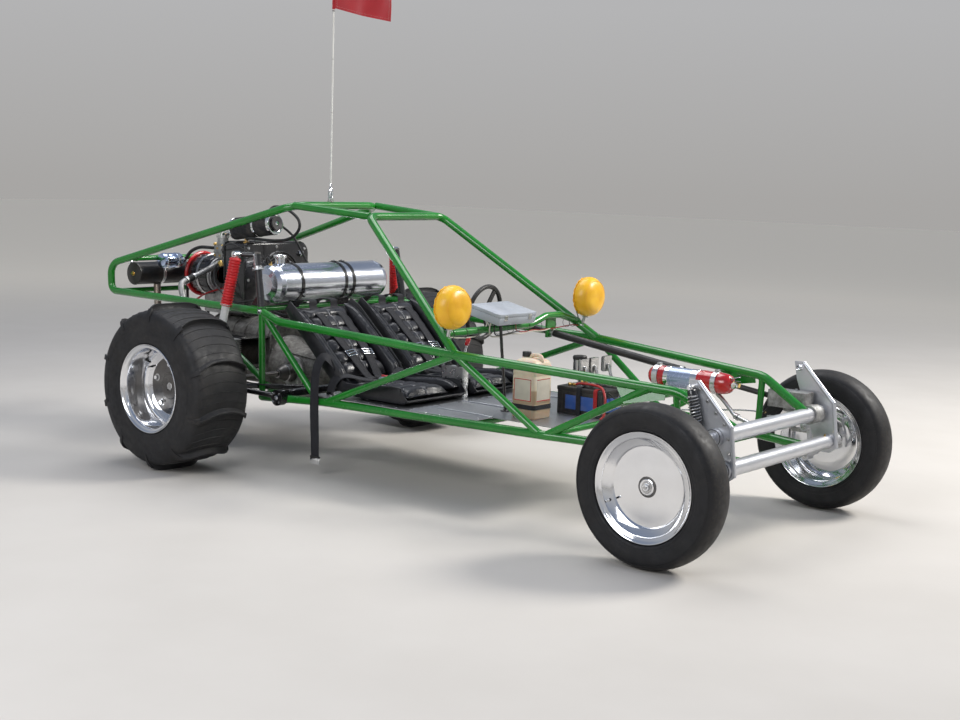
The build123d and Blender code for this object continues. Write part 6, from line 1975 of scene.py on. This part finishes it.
X = Shape("air_filter_look", "root", None, "filter_metal", ("air_filter",), 34)
fa, fb = Vector((-560, -20, 1092)), Vector((-262, 0, 1134))
fd = (fb - fa).normalized()
fl = (fb - fa).length
lathe(X, [(0, 0), (50, 0), (57, 2), (59.4, 6), (59.4, 15), (57, 17)], fa, fd, "chrome", 80)
verts, faces, n = [], [], 180
lv = [16, 18, 60, 120, 180, 240, fl - 20, fl - 18]
u, v, w = basis(fd)
for i, t in enumerate(lv):
    for j in range(n):
        a = 2 * math.pi * j / n
        r = (58.4 if j % 4 < 2 else 54.8) if 0 < i < len(lv) - 1 else 54
        verts.append(fa + fd * t + (u * math.cos(a) + v * math.sin(a)) * r)
for i in range(len(lv) - 1):
    for j in range(n):
        j2 = (j + 1) % n
        faces.append((i * n + j, i * n + j2, (i + 1) * n + j2, (i + 1) * n + j))
X.add(verts, faces, "filter")
lathe(X, [(57, fl - 20), (59.6, fl - 18), (59.6, fl - 3), (57, fl), (44, fl + 1), (40, fl - 1), (38, fl - 6), (36, fl - 6)], fa, fd, "chrome", 80)
lathe(X, [(0, fl - 4), (37, fl - 4)], fa, fd, "dial", 60)
lathe(X, [(30, fl - 4), (34, fl + 6), (37.6, fl + 14), (37.6, fl + 15.4), (30, fl + 15), (14, fl + 13), (12, fl + 9), (0, fl + 9)], fa, fd, "filter", 60)
bolt(X, fa + fd * (fl + 9), fd, 8, 5, "chrome")
for t in (fl * 0.60,):
    lathe(X, [(59, t - 7), (60.4, t - 6), (60.4, t + 6), (59, t + 7)], fa, fd, "chrome", 80)
bar(X, fa + fd * (fl * 0.60) - v * 62, (9, 22, 8), "chrome", fd, -v, 2)
el = curve([(-630, -44, 1042), (-629, -43.6, 1062), (-616, -40, 1082), (-592, -32, 1090), (-556, -21, 1093)], 8)
tube(X, el, 33.6, "chrome", 44)
for q, dd in ((el[3], el[4] - el[3]), (el[-6], el[-5] - el[-6])):
    lathe(X, [(33.4, -6.5), (35.2, -6), (35.2, 6), (33.4, 6.5)], q, dd, "steel", 48)
# breather hose that loops from the filter's top to the shroud
hose(X, [(-300, -6, 1182), (-292, -10, 1206), (-240, -24, 1222), (-160, -40, 1219), (-84, -50, 1198), (-34, -50, 1162), (-28, -50, 1120), (-66, -50, 1080),
         (-130, -52, 1056), (-230, -56, 1048), (-330, -62, 1050), (-392, -66, 1050), (-414, -66, 1042), (-416, -66, 1026)], 7.6, "hose", 8, 14)
lathe(X, [(14, -3), (14, 3), (11, 6), (10, 16)], (-302, -6, 1180), (0.2, -0.1, 1), "chrome", 28)
clamp(X, (-294, -9, 1200), (0.2, -0.2, 1), 7.6)
lathe(X, [(15, 0), (16, 1), (16, 6), (10, 9), (9.6, 20)], (-416, -66, 1026), (0, 0, 1), "brass", 6)
clamp(X, (-416, -66, 1038), (0, 0, 1), 7.6)
hose(X, [(-300, 60, 1120), (-290, 84, 1110), (-250, 120, 1060), (-200, 150, 960), (-120, 150, 860), (-60, 120, 820)], 6.4, "hose", 8, 12)
X.make()

Y = Shape("exhaust_details", "root", None, "exhaust_steel", (), 34)
for s in (1, -1):
    lathe(Y, [(60, -5), (61.4, -4), (61.4, 2), (60, 5), (40, 9), (22, 10), (0, 10)], (-968, s * 368, 838), (0, s, 0), "muffler", 72)
    lathe(Y, [(60.2, -9), (62.4, -8), (62.4, 8), (60.2, 9)], (-968, s * 210, 838), (0, 1, 0), "steel", 72)
    tube(Y, curve([(-930, s * 210, 884), (-908, s * 210, 906), (-893, s * 210, 916)], 6), 5, "steel", 12)
    lathe(Y, [(13.8, -10), (17.4, -9), (17.4, 9), (13.8, 10)], (-890, s * 210, 925), (0, 1, 0), "steel", 40)
    lathe(Y, [(19.4, -5), (23, -3), (23, 3), (19.4, 5)], (-961, s * 226, 784), (0, 0, 1), "exhaust", 40)
    for x, y, z in ((-500, 345, 402), (-230, 335, 400)):
        lathe(Y, [(18, -4), (30, -4), (31, -2), (31, 3), (18, 5)], (x, s * y, z - 4), (0, 0, 1), "cast", 36)
# bright tail tips out of the muffler's right end
for y, z in ((-352, 850), (-340, 822)):
    tube(Y, curve([(-1000, y, z + 30), (-1012, y, z + 38), (-1018, y - 8, z + 48)], 5), 12, "chrome", 26)
    lathe(Y, [(12, -3), (14, -2), (14, 3), (12, 4)], (-1016, y - 6, z + 45), (-0.4, -0.4, 0.8), "chrome", 26)
for s in (1,):
    bolt(Y, (-968, -378, 838), (0, -1, 0), 9, 7, "brass")
Y.make()

Z = Shape("drive_details", "root", None, "cast_alloy", (), 34)
for k in range(10):
    a = math.radians(36 * k)
    bolt(Z, (-133.5, 150 * math.cos(a), 400 + 150 * math.sin(a)), (1, 0, 0), 6, 5, "steel") if -0.2 < math.sin(a) or k % 2 else None
for k in range(6):
    a = math.radians(60 * k + 15)
    d = Vector((0, math.cos(a), math.sin(a)))
    sweep(Z, [Vector((-110, 0, 400)) + d * 138, Vector((-40, 0, 400)) + d * 114, Vector((60, 0, 400)) + d * 95, Vector((180, 0, 400)) + d * 83], [(-4, -6), (4, -6), (3, 6), (-3, 6)],
          "magnesium", [tuple(d)] * 4)
for s in (1, -1):
    lathe(Z, [(46, -30), (78, -30), (80, -27), (80, -10), (70, -4), (50, 0)], (0, s * 122, 390), (0, s, 0), "cast", 56)
    for k in range(8):
        a = math.radians(45 * k)
        bolt(Z, (68 * math.cos(a), s * 116, 390 + 68 * math.sin(a)), (0, s, 0), 5.4, 4.4, "steel", False)
    # torsion housing caps, bolts of the arms, bearing carrier bolts
    lathe(Z, [(0, 0), (20, 0), (36, 1), (38.6, 3), (38.6, 6), (34, 8), (0, 8)], (360, s * 538, 345), (0, s, 0), "black_gloss", 56)
    for k in range(4):
        a = math.radians(45 + 90 * k)
        bolt(Z, (360 + 27 * math.cos(a), s * 546, 345 + 27 * math.sin(a)), (0, s, 0), 5.6, 4.6, "chrome", False)
    bolt(Z, (360, s * 546, 345), (0, s, 0), 8, 6, "chrome")
    for k in range(6):
        a = math.radians(60 * k + 30)
        bolt(Z, (50 * math.cos(a), s * 653, 390 + 50 * math.sin(a)), (0, -s, 0), 5.6, 5, "steel", False)
    hose(Z, [(20, s * 640, 440), (60, s * 600, 430), (160, s * 560, 400), (260, s * 520, 392), (330, s * 470, 396)], 3.6, "hose", 8, 10)
Z.make()
for s, side in ((1, "left"), (-1, "right")):
    D = Shape("axle_boots_" + side, "wheel_rear_" + side, (0, s * 400.0, 390), "tyre_rubber", (), 50)
    for t0, t1, r0, r1 in ((166, 214, 43, 17), (600, 552, 43, 17)):
        prof = []
        for k in range(49):
            q = k / 48
            prof.append((r0 + (r1 - r0) * q + 2.6 * math.sin(q * 8 * math.pi) * (1 - 0.5 * q), t0 + (t1 - t0) * q))
        lathe(D, prof, (0, 0, 390), (0, s, 0), "hose", 60)
        for q in (0.02, 0.98):
            r = r0 + (r1 - r0) * q + 0.6
            t = t0 + (t1 - t0) * q
            lathe(D, [(r, t - 3), (r + 1.6, t - 2.6), (r + 1.6, t + 2.6), (r, t + 3)], (0, 0, 390), (0, s, 0), "steel", 60)
    for k in range(6):
        a = math.radians(60 * k)
        for t, e in ((134, -1), (638, 1)):
            bolt(D, (34 * math.cos(a), s * t, 390 + 34 * math.sin(a)), (0, s * e, 0), 4.4, 4, "chrome", False)
    for k in range(20):
        a = 2 * math.pi * k / 20
        d = Vector((math.cos(a), 0, math.sin(a)))
        bar(D, Vector((0, s * 748, 390)) + d * 117.2, (46, 3.4, 3.4), "dark_steel", (0, 1, 0), d, 1, 0.6)
    D.make()

# --------------------------------------------------------------------------- front end
J = Shape("front_end_details", "root", None, "chrome_parts", (), 34)
for s in (1, -1):
    for (bx0, bz0), (lx, lz) in (((2655, 470), (2562, 388)), ((2700, 352), (2576, 262))):
        lathe(J, [(0, 0), (20, 0), (22.8, 1.5), (22.8, 9), (20, 12), (0, 12.5)], (bx0, s * 513, bz0), (0, s, 0), "chrome", 48)
        bolt(J, (bx0, s * 525, bz0), (0, s, 0), 7.5, 5.5, "steel")
        lathe(J, [(31.2, -9), (35, -8), (35, 8), (31.2, 9)], (bx0, s * 444, bz0), (0, s, 0), "silver", 60)
        lathe(J, [(31.2, -2), (33.2, -1.4), (33.2, 1.4), (31.2, 2)], (bx0, s * 452, bz0), (0, s, 0), "hose", 60)
        bolt(J, (lx, s * 521.5, lz), (0, s, 0), 8, 6, "chrome")
        bolt(J, (lx, s * 478.5, lz), (0, -s, 0), 8, 6, "steel")
        # grease nipple on each tube
        lathe(J, [(4.4, 0), (4.4, 4), (2.4, 6), (2.8, 9), (1.6, 11), (0, 11)], (bx0 + 8, s * 380, bz0 + 29.5), (0.26, 0, 1), "brass", 6)
    # tower bolts along its front flange, its stiffening rib and top bolt
    for k in range(4):
        t = (k + 0.5) / 4
        x, z = 2722 + (2572 - 2722) * t, 515 + (676 - 515) * t
        bolt(J, (x - 13, s * 432.4, z - 13), (0, s, 0), 5.4, 4, "steel")
    for k in range(3):
        t = (k + 0.6) / 3.4
        x, z = 2745 + (2722 - 2745) * t, 330 + (515 - 330) * t
        bolt(J, (x - 18, s * 432.4, z), (0, s, 0), 5.4, 4, "steel")
    lathe(J, [(9, 0), (9, 20)], (2556, s * 424, 650), (0, -s, 0), "chrome", 24)
    bolt(J, (2556, s * 423.6, 650), (0, -s, 0), 9, 7, "chrome")
    # brake hose along the arm
    hose(J, [(2440, s * 352, 452), (2450, s * 372, 472), (2468, s * 430, 486), (2496, s * 500, 472), (2514, s * 542, 438), (2520, s * 560, 396),
             (2520, s * 560, 380)], 4.2, "hose", 8, 10)
    lathe(J, [(6, 0), (6, 10), (4.4, 12)], (2440, s * 349, 452), (0, s, 0), "brass", 6)
# bolts and filler of the steering box, seal round its drop shaft
for x, y in ((2474, 335), (2474, 395), (2560, 335), (2560, 395)):
    bolt(J, (x, y, 555.6), (0, 0, 1), 5.6, 4.6, "steel")
lathe(J, [(0, 0), (10, 0), (10, 5), (7, 6), (0, 6)], (2518, 365, 555.6), (0, 0, 1), "brass", 6)
lathe(J, [(22.2, 0), (24.4, 1), (24.4, 10), (22.2, 11)], (2458, 368.4, 521.6), (1, 0.07, -0.15), "steel", 40)
J.make()
# --------------------------------------------------------------------------- CAD nodes that keep their shape
for name, mat in (("front_beam", "silver"), ("lower_frame", "green"), ("upper_rails", "green"), ("rear_cage", "cage"),
                  ("side_braces", "green"), ("roof_cage", "green"), ("nose_frame", "green"), ("floor_pan", "sheet"),
                  ("fuel_tank", "tank"), ("tank_mounts", "black_gloss"), ("shift_levers", "steel"), ("pedals", "steel"),
                  ("steering_box", "cast"), ("pitman_arm", "steel"), ("tie_rod_left", "chrome"), ("tie_rod_right", "chrome"),
                  ("steering_wheel", "leather"), ("front_arms", "silver"), ("knuckle_left", "cast"), ("knuckle_right", "cast"),
                  ("rear_arms", "black_gloss"), ("transaxle", "magnesium"), ("half_shaft_left", "dark_steel"),
                  ("half_shaft_right", "dark_steel"), ("engine_block", "magnesium"), ("fan_shroud", "black_gloss"),
                  ("carburettor", "cast"), ("air_filter", "black_gloss"), ("exhaust", "exhaust"), ("whip_pole", "whip"),
                  ("headlights", "chrome"), ("battery", "plastic"), ("fluid_can", "can"), ("fire_extinguisher", "red"),
                  ("instrument_box", "box_grey"), ("front_shocks", "chrome"), ("rear_shocks", "boot"),
                  ("seat_left", "vinyl"), ("seat_right", "vinyl"), ("flag", "flag")):
    dress(name, mat)

# --------------------------------------------------------------------------- floor and light
floor_mesh = bpy.data.meshes.new("floor")
n = 60
verts = [(-45 + 90 * i / n, -45 + 90 * j / n, 0.0) for j in range(n + 1) for i in range(n + 1)]
faces = [(j * (n + 1) + i, j * (n + 1) + i + 1, (j + 1) * (n + 1) + i + 1, (j + 1) * (n + 1) + i)
         for j in range(n) for i in range(n)]
floor_mesh.from_pydata(verts, [], faces)
floor = bpy.data.objects.new("floor", floor_mesh)
bpy.context.scene.collection.objects.link(floor)
s = Shade("floor_finish", (0.60, 0.57, 0.53), 0.62)
x, y, z = s.sep()
far = s.span(s.math("SQRT", s.math("ADD", s.math("MULTIPLY", x, x), s.math("MULTIPLY", y, y))), 4.0, 13.0, 0, 1, True)
near = s.mix(s.span(s.noise(1.2, 4), 0.35, 0.65, 0, 1), (0.60, 0.57, 0.53), (0.57, 0.54, 0.50))
s.color(s.mix(far, near, (0.80, 0.76, 0.70)))
s.link(s.mix(far, (0.0, 0.0, 0.0), (0.19, 0.165, 0.115)), s.b.inputs["Emission Color"])
s.b.inputs["Emission Strength"].default_value = 1.0
s.rough(s.span(s.noise(3, 4), 0.3, 0.7, 0.6, 0.75))
s.b.inputs["Specular IOR Level"].default_value = 0.12
floor_mesh.materials.append(s.m)

world = bpy.data.worlds.new("world")
bpy.context.scene.world = world
world.use_nodes = True
wt = world.node_tree
back = wt.nodes["Background"]
coord = wt.nodes.new("ShaderNodeTexCoord")
split = wt.nodes.new("ShaderNodeSeparateXYZ")
wt.links.new(coord.outputs["Generated"], split.inputs[0])
ramp = wt.nodes.new("ShaderNodeValToRGB")
stops = [(0.0, (0.46, 0.44, 0.42)), (0.495, (0.63, 0.615, 0.60)), (0.56, (0.74, 0.74, 0.75)), (0.66, (0.60, 0.63, 0.69)),
         (0.80, (0.38, 0.44, 0.56)), (1.0, (0.28, 0.36, 0.54))]
while len(ramp.color_ramp.elements) < len(stops):
    ramp.color_ramp.elements.new(0.5)
for e, (p, c) in zip(ramp.color_ramp.elements, stops):
    e.position, e.color = p, (*c, 1)
shift = wt.nodes.new("ShaderNodeMapRange")
for k, v in (("From Min", -1), ("From Max", 1), ("To Min", 0), ("To Max", 1)):
    shift.inputs[k].default_value = v
wt.links.new(split.outputs["Z"], shift.inputs["Value"])
wt.links.new(shift.outputs["Result"], ramp.inputs["Fac"])
wt.links.new(ramp.outputs["Color"], back.inputs["Color"])
back.inputs["Strength"].default_value = 0.62


def softbox(name, place, aim, size, watts, color=(1, 1, 1)):
    data = bpy.data.lights.new(name, "AREA")
    data.shape = "RECTANGLE"
    data.size, data.size_y = size
    data.energy = watts
    data.color = color
    o = bpy.data.objects.new(name, data)
    o.location = place
    o.rotation_euler = (Vector(aim) - Vector(place)).to_track_quat("-Z", "Y").to_euler()
    bpy.context.scene.collection.objects.link(o)


softbox("key", (4.6, 4.4, 5.6), (0.0, 0.0, 0.4), (2.4, 2.4), 640, (1.0, 0.97, 0.92))
softbox("fill", (1.0, -6.0, 3.6), (0.0, 0.0, 0.5), (4.0, 2.5), 170, (0.97, 0.98, 1.0))
softbox("top", (-1.5, 0.5, 5.5), (-0.4, 0.0, 0.5), (4.0, 3.0), 160, (1.0, 1.0, 1.0))
bpy.context.scene.view_settings.view_transform = "Standard"
bpy.context.scene.view_settings.exposure = 0.0
